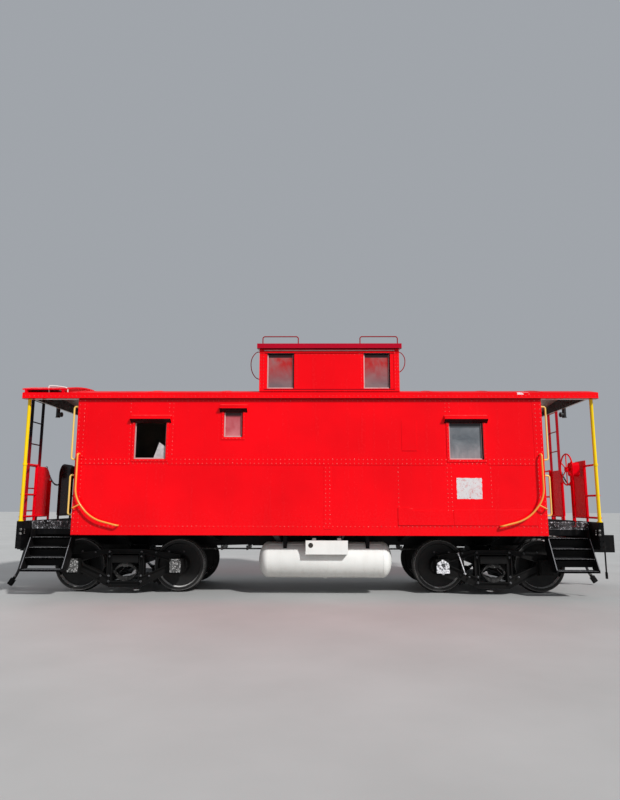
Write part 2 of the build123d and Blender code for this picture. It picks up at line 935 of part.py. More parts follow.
# End wall with door opening, one window and the hinge lugs of the door
hinge_x = end_wall_inner_x - hinge_setback
hinge_y = door_half_width + door_gap
end_low_y, end_high_y = end_window[:2]
end_low_z, end_high_z = floor_top + end_window[2], floor_top + end_window[3]
hinge_half_length = hinge_length / 2 + hinge_gap
lug_width = 2 * (hinge_barrel_radius + 8)
with BuildPart() as end_wall:
    with BuildSketch(Plane.YZ.offset(end_wall_inner_x)):
        add(under_arch(wall_inner_y, roof_inner_edge, roof_inner_crown, floor_top))
        with Locations((0, (floor_top + door_top + door_gap) / 2)):
            Rectangle(2 * hinge_y, door_top + door_gap - floor_top, mode=Mode.SUBTRACT)
        with Locations(((end_low_y + end_high_y) / 2, (end_low_z + end_high_z) / 2)):
            Rectangle(end_high_y - end_low_y, end_high_z - end_low_z, mode=Mode.SUBTRACT)
    extrude(amount=wall_thickness)
    for rise in hinge_heights:
        height = floor_top + rise
        for low_z in (height - hinge_half_length - hinge_lug, height + hinge_half_length):
            with Locations((hinge_x + 1, hinge_y + 8, low_z + hinge_lug / 2)):
                Box(2 * hinge_setback - 2, lug_width, hinge_lug)
        with Locations((hinge_x, hinge_y, height)):
            Cylinder(hinge_pin_radius, hinge_length + 4)

# Door with a glazed opening, a sunk lower panel, its hinge barrels and knobs
door_inner_x = end_wall_inner_x + door_set_in
glass_low_z = floor_top + door_window_low
glass_high_z = floor_top + door_window_high
strap_length = 100.0
with BuildPart() as door:
    with BuildSketch(Plane.YZ.offset(door_inner_x)):
        with Locations((0, (floor_top + door_gap + door_top) / 2)):
            Rectangle(2 * door_half_width, door_top - floor_top - door_gap)
        with Locations((0, (glass_low_z + glass_high_z) / 2)):
            Rectangle(
                2 * door_window_half_width, glass_high_z - glass_low_z, mode=Mode.SUBTRACT
            )
    extrude(amount=door_thickness)
    with BuildSketch(Plane.YZ.offset(door_inner_x + door_thickness)):
        with Locations((0, floor_top + (door_panel_low + door_panel_high) / 2)):
            Rectangle(2 * door_window_half_width, door_panel_high - door_panel_low)
    extrude(amount=-door_panel_depth, mode=Mode.SUBTRACT)
    for rise in hinge_heights:
        height = floor_top + rise
        strap_low_x = hinge_x + hinge_barrel_radius - 2
        with Locations((hinge_x, hinge_y, height)):
            Cylinder(hinge_barrel_radius, hinge_length)
        with Locations(
            ((strap_low_x + door_inner_x) / 2, hinge_y - 3 - strap_length / 2, height)
        ):
            Box(door_inner_x - strap_low_x, strap_length, hinge_length)
        with Locations((hinge_x, hinge_y, height)):
            Cylinder(
                hinge_pin_radius + hinge_pin_clearance, hinge_length, mode=Mode.SUBTRACT
            )
    with Locations(
        Location(
            (
                door_inner_x + door_thickness / 2,
                knob_inset - door_half_width,
                floor_top + knob_height,
            ),
            (0, 90, 0),
        )
    ):
        Cylinder(10, door_thickness + 2 * (knob_reach + 6))
        for face in (-1, 1):
            with Locations((0, 0, face * (door_thickness / 2 + knob_reach))):
                Cylinder(knob_radius, knob_thickness)

with BuildPart() as door_glass:
    with BuildSketch(Plane.YZ.offset(door_inner_x + (door_thickness - pane_thickness) / 2)):
        with Locations((0, (glass_low_z + glass_high_z) / 2)):
            Rectangle(2 * door_window_half_width, glass_high_z - glass_low_z)
    extrude(amount=pane_thickness)

for name, angle in ends:
    save(turned(end_wall.part, angle), f"end_wall_{name}")
    save(turned(door.part, angle), f"door_{name}")
    save(turned(door_glass.part, angle), f"door_glass_{name}")

# Main roof: arched shell over body and platforms, open under the cupola
with BuildPart() as main_roof:
    with BuildSketch(Plane.YZ.offset(-roof_half_length)):
        add(under_arch(roof_half_width, roof_edge_top, roof_crown, wall_top))
        add(
            under_arch(wall_inner_y, roof_inner_edge, roof_inner_crown, wall_top - 1),
            mode=Mode.SUBTRACT,
        )
    extrude(amount=2 * roof_half_length)
    # Fascia plate with a straight lower edge at each end
    for low_x in (-roof_half_length, roof_half_length - fascia_thickness):
        with BuildSketch(Plane.YZ.offset(low_x)):
            add(under_arch(wall_inner_y, roof_inner_edge, roof_inner_crown, wall_top))
            with Locations((0, (wall_top + fascia_low + wall_top - 1) / 2)):
                Rectangle(2 * roof_half_width, fascia_low + 1, mode=Mode.SUBTRACT)
        extrude(amount=fascia_thickness)
    # Opening into the cupola
    with BuildSketch(Plane.XY.offset(wall_top)):
        with Locations(((cupola_low_x + cupola_high_x) / 2, 0)):
            Rectangle(
                cupola_high_x - cupola_low_x - 2 * cupola_wall,
                2 * (cupola_inner_y - cupola_ledge),
            )
    extrude(amount=roof_crown - wall_top + 1, mode=Mode.SUBTRACT)
save(main_roof.part, "main_roof")

# Cupola walls stand on the roof and follow its arch
cupola_base = wall_top + 1


def cupola_section():
    """Face of the cupola from the main roof's arch up to its own, in Y and Z."""
    with BuildSketch() as section:
        add(
            under_arch(body_half_width, cupola_wall_top, cupola_ceiling_crown, cupola_base)
        )
        add(
            under_arch(roof_half_width, roof_edge_top, roof_crown, cupola_base - 1),
            mode=Mode.SUBTRACT,
        )
    return section.sketch


for name, side in (("near", -1), ("far", 1)):
    wall_y = side * body_half_width
    with BuildPart() as cupola_side:
        with BuildSketch(Plane.YZ.offset(cupola_low_x)):
            add(cupola_section())
            with Locations((-side * cupola_wall, (cupola_base + cupola_ceiling_crown) / 2)):
                Rectangle(
                    2 * body_half_width,
                    cupola_ceiling_crown - cupola_base + 2,
                    mode=Mode.SUBTRACT,
                )
        extrude(amount=cupola_high_x - cupola_low_x)
        # Mouldings above and below the windows, and flat strips down the corners
        for low_z, high_z in cupola_mouldings:
            with Locations(
                (
                    (cupola_low_x + cupola_high_x) / 2,
                    wall_y + side * moulding_depth / 2,
                    wall_top + (low_z + high_z) / 2,
                )
            ):
                Box(cupola_high_x - cupola_low_x, moulding_depth, high_z - low_z)
        strip_bottom, strip_top = cupola_mouldings[1][1], cupola_mouldings[0][0]
        for strip_x in (
            cupola_low_x + corner_strip_width / 2,
            cupola_high_x - corner_strip_width / 2,
        ):
            with Locations(
                (
                    strip_x,
                    wall_y + side * corner_strip_depth / 2,
                    wall_top + (strip_bottom + strip_top) / 2,
                )
            ):
                Box(corner_strip_width, corner_strip_depth, strip_top - strip_bottom)
        for low_x, high_x, low_z, high_z in cupola_windows:
            with Locations(
                ((low_x + high_x) / 2, side * cupola_inner_y, wall_top + (low_z + high_z) / 2)
            ):
                Box(high_x - low_x, 4 * cupola_wall, high_z - low_z, mode=Mode.SUBTRACT)
    save(cupola_side.part, f"cupola_side_{name}")

with BuildPart() as cupola_ends:
    for low_x in (cupola_low_x, cupola_high_x - cupola_wall):
        with BuildSketch(Plane.YZ.offset(low_x)):
            add(cupola_section())
            for side in (-1, 1):
                with Locations((side * body_half_width, (cupola_base + cupola_ceiling_crown) / 2)):
                    Rectangle(
                        2 * cupola_wall,
                        cupola_ceiling_crown - cupola_base + 2,
                        mode=Mode.SUBTRACT,
                    )
            for low_y, high_y, low_z, high_z in cupola_end_windows:
                with Locations(((low_y + high_y) / 2, wall_top + (low_z + high_z) / 2)):
                    Rectangle(high_y - low_y, high_z - low_z, mode=Mode.SUBTRACT)
        extrude(amount=cupola_wall)
save(cupola_ends.part, "cupola_ends")

cupola_roof_edge_z = wall_top + cupola_height + cupola_roof_edge
cupola_roof_base = cupola_wall_top - 12
with BuildPart() as cupola_roof:
    with BuildSketch(Plane.YZ.offset(cupola_low_x - cupola_roof_overhang)):
        add(
            under_arch(
                cupola_roof_half_width,
                cupola_roof_edge_z,
                cupola_wall_top + cupola_roof_rise,
                cupola_roof_base,
            )
        )
        add(
            under_arch(
                body_half_width, cupola_wall_top, cupola_ceiling_crown, cupola_roof_base - 1
            ),
            mode=Mode.SUBTRACT,
        )
    extrude(amount=cupola_high_x - cupola_low_x + 2 * cupola_roof_overhang)
save(cupola_roof.part, "cupola_roof")

# Window frames with hoods on the outside of the side walls
with BuildPart() as window_frames:
    for side in (-1, 1):
        wall_y = side * body_half_width
        hood_y = side * (body_half_width + hood_reach)
        for low_x, high_x, low_z, high_z, near_only in window_openings:
            if side > 0 and near_only:
                continue
            with BuildSketch(Plane.XZ.offset(-wall_y)):
                with Locations(((low_x + high_x) / 2, (low_z + high_z) / 2)):
                    Rectangle(
                        high_x - low_x + 2 * window_frame_width,
                        high_z - low_z + 2 * window_frame_width,
                    )
                    Rectangle(high_x - low_x, high_z - low_z, mode=Mode.SUBTRACT)
            extrude(amount=-side * window_frame_proud)
            hood_root = high_z - hood_drop
            hood_edge = hood_root + hood_flare
            with BuildSketch(Plane.YZ.offset(low_x - hood_overhang)):
                with BuildLine():
                    Polyline(
                        (wall_y, hood_root),
                        (hood_y, hood_edge),
                        (hood_y, hood_edge + hood_thickness),
                        (wall_y, hood_edge + 2 * hood_thickness),
                        close=True,
                    )
                make_face()
            extrude(amount=high_x - low_x + 2 * hood_overhang)
save(window_frames.part, "window_frames")

# Window glass of the body and cupola
pane_y = body_half_width - pane_setback
broken_window = window_openings[0]
shard_x, shard_z = broken_window[1], broken_window[2]
with BuildPart() as window_glass:
    # Shard left standing in the near side's broken window
    with BuildSketch(Plane.XZ.offset(pane_y - pane_thickness / 2)):
        with BuildLine():
            Polyline(
                (shard_x, shard_z),
                (shard_x, shard_z + shard_side),
                (shard_x - shard_lean, shard_z + shard_height),
                (shard_x - shard_width, shard_z),
                close=True,
            )
        make_face()
    extrude(amount=pane_thickness)
    for side in (-1, 1):
        for low_x, high_x, low_z, high_z, near_only in window_openings:
            if side > 0 and near_only:
                continue
            if side < 0 and low_x == broken_window[0]:
                continue
            with Locations(((low_x + high_x) / 2, side * pane_y, (low_z + high_z) / 2)):
                Box(high_x - low_x, pane_thickness, high_z - low_z)
        for low_x, high_x, low_z, high_z in cupola_windows:
            with Locations(
                ((low_x + high_x) / 2, side * pane_y, wall_top + (low_z + high_z) / 2)
            ):
                Box(high_x - low_x, pane_thickness, high_z - low_z)
        with Locations(
            (
                side * (body_half_length - pane_setback),
                side * (end_low_y + end_high_y) / 2,
                (end_low_z + end_high_z) / 2,
            )
        ):
            Box(pane_thickness, end_high_y - end_low_y, end_high_z - end_low_z)
    for low_x in (cupola_low_x, cupola_high_x - cupola_wall):
        for low_y, high_y, low_z, high_z in cupola_end_windows:
            with Locations(
                (low_x + cupola_wall / 2, (low_y + high_y) / 2, wall_top + (low_z + high_z) / 2)
            ):
                Box(pane_thickness, high_y - low_y, high_z - low_z)
save(window_glass.part, "window_glass")

# Platform decks: open bar grating in a frame
grating_length = platform_length - 2 * deck_frame
grating_width = 2 * (platform_beam_outer - deck_frame)
with BuildPart() as platform_decks:
    with BuildSketch(Plane.XY.offset(frame_top)):
        with Locations((body_half_length + platform_length / 2, 0)):
            Rectangle(platform_length, 2 * platform_beam_outer)
            Rectangle(grating_length, grating_width, mode=Mode.SUBTRACT)
            with GridLocations(deck_pitch, 1, int(grating_length // deck_pitch), 1):
                Rectangle(deck_bar, grating_width + deck_frame)
            with GridLocations(1, 2 * deck_pitch, 1, int(grating_width // (2 * deck_pitch))):
                Rectangle(grating_length + deck_frame, deck_bar)
    extrude(amount=deck_thickness)
    mirror(about=Plane.YZ)
save(platform_decks.part, "platform_decks")

# Steps at the four corners: two stringers and open treads
treads = [
    (frame_top - drop, platform_beam_outer + reach) for drop, reach in step_treads
]
low_tread_z, low_tread_y = treads[0]
high_tread_z, high_tread_y = treads[-1]
with BuildPart() as corner_step:
    for low_x in (step_inner_x - stringer_thickness, step_outer_x):
        with BuildSketch(Plane.YZ.offset(low_x)):
            with BuildLine():
                Polyline(
                    (platform_beam_outer, frame_top),
                    (platform_beam_outer + stringer_head, frame_top),
                    (high_tread_y + 30, high_tread_z),
                    (low_tread_y, low_tread_z + 20),
                    (low_tread_y, low_tread_z - tread_thickness),
                    (low_tread_y - tread_depth, low_tread_z - tread_thickness),
                    (platform_beam_outer, high_tread_z - stringer_head),
                    close=True,
                )
            make_face()
        extrude(amount=stringer_thickness)
    for top, outer_y in treads:
        depth = min(tread_depth, outer_y - platform_beam_outer)
        with Locations(
            ((step_inner_x + step_outer_x) / 2, outer_y - depth / 2, top - tread_thickness / 2)
        ):
            Box(step_width, depth, tread_thickness)
    # Risers close the back of each tread; the lowest one stops short of its tread
    for (low_top, outer_y), (high_top, _) in zip(treads, treads[1:]):
        riser_low = low_top + (riser_gap if low_top == low_tread_z else 0)
        riser_high = high_top - tread_thickness / 2
        back_y = max(outer_y - tread_depth, platform_beam_outer)
        with Locations(
            (
                (step_inner_x + step_outer_x) / 2,
                back_y + riser_thickness / 2,
                (riser_low + riser_high) / 2,
            )
        ):
            Box(step_width, riser_thickness, riser_high - riser_low)
with BuildPart() as steps:
    add(corner_step.part)
    mirror(about=Plane.XZ)
    mirror(about=Plane.YZ)
save(steps.part, "steps")


def corner_post(radius):
    """One canopy post from the end sill to the roof, with a collar and a foot ring."""
    with BuildPart() as post:
        with Locations((post_x, post_y, (end_sill_top + wall_top) / 2)):
            Cylinder(radius, wall_top - end_sill_top)
        with Locations((post_x, post_y, end_sill_top + post_collar_rise)):
            Cylinder(radius + 8, 36)
        with Locations((post_x, post_y, end_sill_top + 8)):
            Cylinder(radius + 14, 16)
    return post.part


with BuildPart() as corner_posts:
    add(corner_post(post_radius))
    mirror(about=Plane.XZ)
    mirror(about=Plane.YZ)
save(corner_posts.part, "corner_posts")

# End railing: two plates with rounded inner corners on stanchions, with rails to the posts
post_room = corner_post(post_radius + seat_gap)
inner_stanchion_y = plate_inner_y + stanchion_radius
outer_stanchion_y = plate_outer_y - stanchion_radius
rail_end_z = end_sill_top + rail_rises[-1] + stanchion_radius
foot_z = end_sill_top - foot_drop
with BuildPart() as end_railing:
    for side, plate_height in plate_heights:
        plate_top = end_sill_top + plate_height
        plate_bottom = end_sill_top + plate_foot_gap
        corner_z = plate_top - plate_corner_radius
        corner_y = side * (plate_inner_y + plate_corner_radius)
        with BuildSketch(Plane.YZ.offset(plate_back_x)):
            with BuildLine():
                Line((side * plate_inner_y, corner_z), (side * plate_inner_y, plate_bottom))
                Line((side * plate_inner_y, plate_bottom), (side * plate_outer_y, plate_bottom))
                Line((side * plate_outer_y, plate_bottom), (side * plate_outer_y, plate_top))
                Line((side * plate_outer_y, plate_top), (corner_y, plate_top))
                RadiusArc(
                    (corner_y, plate_top),
                    (side * plate_inner_y, corner_z),
                    -side * plate_corner_radius,
                )
            make_face()
        extrude(amount=plate_thickness)
        for rise in rail_rises:
            height = end_sill_top + rise
            start_y = outer_stanchion_y if height > plate_bottom else inner_stanchion_y
            add(
                bar(
                    [
                        (rail_x, side * start_y, height),
                        (rail_x, side * (post_y - rail_bend), height),
                        (post_x, side * (post_y - post_radius / 2), height),
                    ],
                    rail_radius + 13,
                    rail_radius,
                )
            )
        for stanchion_y, top_z in ((inner_stanchion_y, corner_z), (outer_stanchion_y, rail_end_z)):
            with Locations((rail_x, side * stanchion_y, (top_z + foot_z) / 2)):
                Cylinder(stanchion_radius, top_z - foot_z)
            with Locations(
                (rail_x - stanchion_radius / 2, side * stanchion_y, end_sill_top - foot_drop / 2)
            ):
                Box(stanchion_radius, 2 * rail_radius, foot_drop)
    add([post_room, post_room.mirror(Plane.XZ)], mode=Mode.SUBTRACT)
for name, angle in ends:
    save(turned(end_railing.part, angle), f"end_railing_{name}")

# Safety chain across each end gap, as a thin bar in a sagging curve
chain_x = plate_x + plate_thickness / 2 + chain_radius
chain_z = end_sill_top + chain_rise
with BuildPart() as safety_chain:
    with BuildLine() as chain_line:
        ThreePointArc(
            (chain_x, chain_ends_y[0], chain_z),
            (chain_x, sum(chain_ends_y) / 2, chain_z - chain_sag),
            (chain_x, chain_ends_y[1], chain_z),
        )
    with BuildSketch(Plane(origin=chain_line.line @ 0, z_dir=chain_line.line % 0)):
        Circle(chain_radius)
    sweep()
with BuildPart() as safety_chains:
    add(safety_chain.part)
    add(turned(safety_chain.part, 180))
save(safety_chains.part, "safety_chains")

# Ladders: flat stiles with round rungs, outside the end railing
ladder_bottom = end_sill_top - ladder_drop
ladder_top = wall_top + ladder_rise
ladder_middle_y = (ladder_inner_y + ladder_outer_y) / 2
first_rung_z = ladder_bottom + first_rung_rise
rung_pitch = (ladder_top - last_rung_drop - first_rung_z) / (ladder_rungs - 1)
with BuildPart() as ladder:
    for y in (ladder_inner_y, ladder_outer_y):
        with Locations((ladder_x, y, (ladder_bottom + ladder_top) / 2)):
            Box(stile_width, stile_thickness, ladder_top - ladder_bottom)
        # Brackets to the end sill and to the fascia under the roof's end
        for face_x, height in (
            (end_sill_outer_x, ladder_bottom + 60),
            (roof_half_length, wall_top + fascia_low + 40),
        ):
            with Locations(((face_x + ladder_x) / 2, y, height)):
                Box(ladder_x - face_x, stile_thickness + 20, 40)
    for step in range(ladder_rungs):
        with Locations(
            Location((ladder_x, ladder_middle_y, first_rung_z + step * rung_pitch), (90, 0, 0))
        ):
            Cylinder(rung_radius, ladder_outer_y - ladder_inner_y)
with BuildPart() as ladders:
    add(ladder.part)
    add(turned(ladder.part, 180))
save(ladders.part, "ladders")

# Hand brakes: gear housing on a rod stand
housing_x = brake_wheel_x + brake_shaft_reach + brake_hub_width / 2
rod_x = housing_x + brake_housing_depth / 3
with BuildPart() as hand_brake:
    with BuildSketch(Plane.YZ.offset(housing_x)):
        with Locations((-brake_y, brake_z)):
            RectangleRounded(brake_housing_width, brake_housing_height, 60)
    extrude(amount=brake_housing_depth, taper=-4)
    with Locations(
        Location((housing_x - brake_shaft_reach / 2, -brake_y, brake_z), (0, 90, 0))
    ):
        Cylinder(22, brake_shaft_reach)
    with Locations((rod_x, -brake_y, (deck_top + brake_z) / 2)):
        Cylinder(brake_rod_radius, brake_z - deck_top)
    with BuildSketch(Plane.XY.offset(deck_top)):
        with Locations((end_sill_inner_x - 45, -brake_y)):
            Rectangle(90, 120)
    extrude(amount=20)
with BuildPart() as hand_brakes:
    add(hand_brake.part)
    add(turned(hand_brake.part, 180))
save(hand_brakes.part, "hand_brakes")

# Hand wheel: round rim, hub and round spokes, turned to face along the car
spoke_outer = brake_wheel_radius - 1.4 * brake_rim_radius
with BuildPart() as brake_wheel:
    with BuildSketch(Plane.XY):
        with Locations((brake_wheel_radius - brake_rim_radius, 0)):
            Circle(brake_rim_radius)
    revolve(axis=Axis.Y)
    with Locations(Location((0, 0, 0), (90, 0, 0))):
        Cylinder(brake_hub_radius, brake_hub_width)
    for number in range(brake_spokes):
        angle = math.radians(360 / brake_spokes * (number + 0.5))
        direction = Vector(math.cos(angle), 0, math.sin(angle))
        with BuildSketch(Plane(origin=direction * brake_spoke_inner, z_dir=direction)):
            Circle(brake_spoke_radius)
        extrude(amount=spoke_outer - brake_spoke_inner)
placed_wheel = brake_wheel.part.rotate(Axis.Z, 90).moved(
    Location((brake_wheel_x, -brake_y, brake_z))
)
with BuildPart() as brake_wheels:
    add(placed_wheel)
    add(turned(placed_wheel, 180))
save(brake_wheels.part, "brake_wheels")

# Curved handrails on the sides at the platforms, each with a short brace to the wall
grab_points = [
    (body_half_length - inset, side_grab_y, frame_top + rise) for inset, rise in side_grab_line
]
grab_head, grab_foot = grab_points[0], grab_points[-1]
with BuildPart() as side_handrail:
    add(
        bar(
            [(grab_head[0], body_half_width, grab_head[2])]
            + grab_points
            + [(grab_foot[0], body_half_width, grab_foot[2])],
            [40, *side_grab_bends, 40],
            grab_radius,
        )
    )
    add(
        bar(
            [
                (body_half_length - brace_high[0], side_grab_y, frame_top + brace_high[1]),
                (body_half_length - brace_low[0], side_grab_y, frame_top + brace_low[1]),
                (body_half_length - brace_low[0], body_half_width, frame_top + brace_low[1]),
            ],
            20,
            grab_radius - 3,
        )
    )
with BuildPart() as side_handrails:
    add(side_handrail.part)
    mirror(about=Plane.XZ)
    mirror(about=Plane.YZ)
save(side_handrails.part, "side_handrails")

# Straight grabs on the end walls
with BuildPart() as end_grab_pair:
    for low_z, high_z in end_grabs:
        add(
            bar(
                [
                    (body_half_length, end_grab_y, frame_top + high_z),
                    (end_grab_x, end_grab_y, frame_top + high_z),
                    (end_grab_x, end_grab_y, frame_top + low_z),
                    (body_half_length, end_grab_y, frame_top + low_z),
                ],
                36,
                grab_radius,
            )
        )
with BuildPart() as end_handrails:
    add(end_grab_pair.part)
    mirror(about=Plane.XZ)
    mirror(about=Plane.YZ)
save(end_handrails.part, "end_handrails")


def above_roof(low_rise, high_rise):
    """Band that follows the roof's arch between two heights over it, outside the inner edge."""
    with BuildSketch() as band:
        add(
            under_arch(
                roof_half_width, roof_edge_top + high_rise, roof_crown + high_rise, wall_top
            )
        )
        add(
            under_arch(
                roof_half_width, roof_edge_top + low_rise, roof_crown + low_rise, wall_top - 1
            ),
            mode=Mode.SUBTRACT,
        )
        with Locations((running_board_inner_y - roof_half_width, roof_crown)):
            Rectangle(2 * roof_half_width, 4 * roof_rise, mode=Mode.SUBTRACT)
    return band.sketch


# Lateral running boards beside the ladders, on brackets that follow the roof
board_low_x = body_half_length + running_board_inset
board_high_x = roof_half_length + running_board_overhang
with BuildPart() as running_board:
    with BuildSketch(Plane.YZ.offset(board_low_x)):
        add(above_roof(running_board_rise, running_board_rise + running_board_thickness))
    extrude(amount=board_high_x - board_low_x)
    for low_x in (
        board_low_x + running_board_bracket,
        board_high_x - 2 * running_board_bracket,
    ):
        with BuildSketch(Plane.YZ.offset(low_x)):
            add(above_roof(0, running_board_rise))
        extrude(amount=running_board_bracket)
with BuildPart() as running_boards:
    add(running_board.part)
    add(turned(running_board.part, 180))
save(running_boards.part, "running_boards")

# Grab rails on the cupola roof
grab_foot_z = cupola_roof_edge_z - 20
grab_top_z = cupola_roof_edge_z + cupola_grab_rise
with BuildPart() as cupola_rails:
    for low_x, high_x in cupola_grabs:
        add(
            bar(
                [
                    (low_x, cupola_grab_y, grab_foot_z),
                    (low_x, cupola_grab_y, grab_top_z),
                    (high_x, cupola_grab_y, grab_top_z),
                    (high_x, cupola_grab_y, grab_foot_z),
                ],
                36,
                cupola_grab_radius,
            )
        )
    mirror(about=Plane.XZ)
    add(cupola_roof.part, mode=Mode.SUBTRACT)
save(cupola_rails.part, "cupola_rails")

# Lamps under the ends of the canopies, each on a stem with a bracket to the fascia
lamp_bottom = roof_inner_crown - lamp_drop
stem_top = roof_inner_crown - 4
with BuildPart() as lamp:
    with BuildSketch(Plane.XZ):
        with BuildLine():
            Polyline(
                (0, lamp_bottom),
                (lamp_radius, lamp_bottom),
                (lamp_radius - 4, lamp_bottom + 40),
                (lamp_radius - 26, lamp_bottom + 120),
                (lamp_stem_radius, lamp_bottom + 150),
                (lamp_stem_radius, stem_top),
                (0, stem_top),
                close=True,
            )
        make_face()
    revolve(axis=Axis.Z)
    with Locations((-lamp_reach / 2, 0, stem_top - 20)):
        Box(lamp_reach, 40, 40)
placed_lamp = lamp.part.moved(Location((lamp_x, 0, 0)))
with BuildPart() as platform_lamps:
    add(placed_lamp)
    add(turned(placed_lamp, 180))
save(platform_lamps.part, "platform_lamps")

# Fuel tank with dished ends
crown_angle = math.asin((tank_radius - tank_knuckle) / (tank_crown - tank_knuckle))
tank_dome = tank_crown - (tank_crown - tank_knuckle) * math.cos(crown_angle)
crown_degrees = math.degrees(crown_angle)
knuckle_degrees = 90 - crown_degrees
knuckle_y = tank_radius - tank_knuckle
with BuildPart() as fuel_tank:
    with BuildSketch(Plane.XY):
        with BuildLine():
            Line((tank_low_x, 0), (tank_high_x, 0))
            CenterArc((tank_high_x - tank_crown, 0), tank_crown, 0, crown_degrees)
            CenterArc(
                (tank_high_x - tank_dome, knuckle_y), tank_knuckle, crown_degrees, knuckle_degrees
            )
            Line((tank_high_x - tank_dome, tank_radius), (tank_low_x + tank_dome, tank_radius))
            CenterArc((tank_low_x + tank_dome, knuckle_y), tank_knuckle, 90, knuckle_degrees)
            CenterArc(
                (tank_low_x + tank_crown, 0), tank_crown, 180 - crown_degrees, crown_degrees
            )
        make_face()
    revolve(axis=Axis.X)
save(fuel_tank.part.moved(Location((0, tank_y, tank_z))), "fuel_tank")

# Hangers welded to the tank's shoulders, and brackets for the valve cover's hinge pins
cover_pin_z = cover_top + cover_pin_rise
cover_pin_y = cover_front_y + cover_pin_inset
lug_offset = cover_barrel_length / 2 + cover_lug_gap + cover_lug / 2
sill_middle_y = -(side_sill_inner + wall_inner_y) / 2
# Open middle of a hanger, between its legs, the band on the tank and the flange on top
with BuildSketch() as hanger_window:
    with Locations((tank_y, (tank_z + frame_top - strap_flange) / 2)):
        Rectangle(2 * (strap_reach - strap_thickness), frame_top - strap_flange - tank_z)
    with Locations((tank_y, tank_z)):
        Circle(tank_radius + strap_thickness, mode=Mode.SUBTRACT)
with BuildPart() as tank_hangers:
    for x in strap_x:
        with BuildSketch(Plane.YZ.offset(x - strap_width / 2)):
            with Locations((tank_y, (tank_z + frame_top) / 2)):
                Rectangle(2 * strap_reach, frame_top - tank_z)
            with Locations((tank_y, tank_z)):
                Circle(tank_radius, mode=Mode.SUBTRACT)
            add(hanger_window.sketch, mode=Mode.SUBTRACT)
        extrude(amount=strap_width)
    for x in cover_hinge_x:
        lug_top = side_sill_bottom - bracket_plate / 2
        lug_bottom = cover_pin_z - cover_barrel_radius
        for side in (-1, 1):
            with Locations((x + side * lug_offset, cover_pin_y, (lug_bottom + lug_top) / 2)):
                Box(cover_lug, 2 * cover_barrel_radius, lug_top - lug_bottom)
        with Locations(Location((x, cover_pin_y, cover_pin_z), (0, 90, 0))):
            Cylinder(cover_pin_radius, 2 * lug_offset + cover_lug)
        with Locations((x, sill_middle_y, side_sill_bottom - bracket_plate / 2)):
            Box(2 * lug_offset + cover_lug, side_sill_width - 10, bracket_plate)
save(tank_hangers.part, "tank_hangers")

# Tank valve behind its cover
valve_x = (cover_low_x + cover_high_x) / 2
valve_z = cover_bottom + 2 * valve_radius
valve_y = tank_y - tank_radius - 20
tank_core = Cylinder(tank_radius, tank_high_x - tank_low_x, mode=Mode.PRIVATE)
with BuildPart() as tank_valve:
    with BuildSketch(Plane.XZ.offset(-tank_y)):
        with Locations((valve_x, valve_z)):
            Circle(valve_radius)
    extrude(amount=tank_radius + 50)
    with Locations((valve_x, valve_y, valve_z)):
        Cylinder(valve_stem_radius, 4 * valve_radius)
    with Locations((valve_x, valve_y, valve_z + 2 * valve_radius)):
        Cylinder(valve_cap_radius, 16)
    add(
        tank_core.rotate(Axis.Y, 90).moved(Location((valve_x, tank_y, tank_z))),
        mode=Mode.SUBTRACT,
    )
save(tank_valve.part, "tank_valve")

# Hinged cover of the tank valve: a box open at the back and bottom
with BuildPart() as tank_cover:
    add(
        block(
            (cover_low_x, cover_front_y, cover_bottom), (cover_high_x, cover_back_y, cover_top)
        )
    )
    add(
        block(
            (cover_low_x + cover_wall, cover_front_y + cover_wall, cover_bottom - 1),
            (cover_high_x - cover_wall, cover_back_y + 1, cover_top - cover_wall),
        ),
        mode=Mode.SUBTRACT,
    )
    with Locations(
        Location(
            (cover_low_x + cover_hole_inset, cover_front_y, cover_top - cover_hole_drop),
            (90, 0, 0),
        )
    ):
        Cylinder(cover_hole_radius, 6 * cover_wall, mode=Mode.SUBTRACT)
    for x in cover_hinge_x:
        with Locations((x, cover_pin_y, (cover_top + cover_pin_z) / 2)):
            Box(cover_barrel_length, 2 * cover_barrel_radius, cover_pin_z - cover_top)
        with Locations(Location((x, cover_pin_y, cover_pin_z), (0, 90, 0))):
            Cylinder(cover_barrel_radius, cover_barrel_length)
            Cylinder(
                cover_pin_radius + cover_pin_clearance, cover_barrel_length, mode=Mode.SUBTRACT
            )
save(tank_cover.part, "tank_cover")

# Air brake cylinder and reservoir under the far side, each in a bay between two bearers
cylinder_z = frame_top - cylinder_drop
cylinder_high_x = bearer_x[1] - bearer_thickness / 2 - gear_clearance
cylinder_x = cylinder_high_x - cylinder_flange - cylinder_length / 2
rod_length = bay_length - cylinder_length - cylinder_flange
with BuildPart() as brake_cylinder:
    with Locations(Location((cylinder_x, cylinder_y, cylinder_z), (0, 90, 0))):
        Cylinder(cylinder_radius, cylinder_length)
        with Locations((0, 0, (cylinder_length + cylinder_flange) / 2)):
            Cylinder(cylinder_radius + 20, cylinder_flange)
        with Locations((0, 0, -(cylinder_length + rod_length) / 2)):
            Cylinder(cylinder_rod_radius, rod_length)
    with Locations((cylinder_x, cylinder_y, (cylinder_z + frame_top) / 2)):
        Box(cylinder_length / 2, cylinder_radius, frame_top - cylinder_z)
save(brake_cylinder.part, "brake_cylinder")

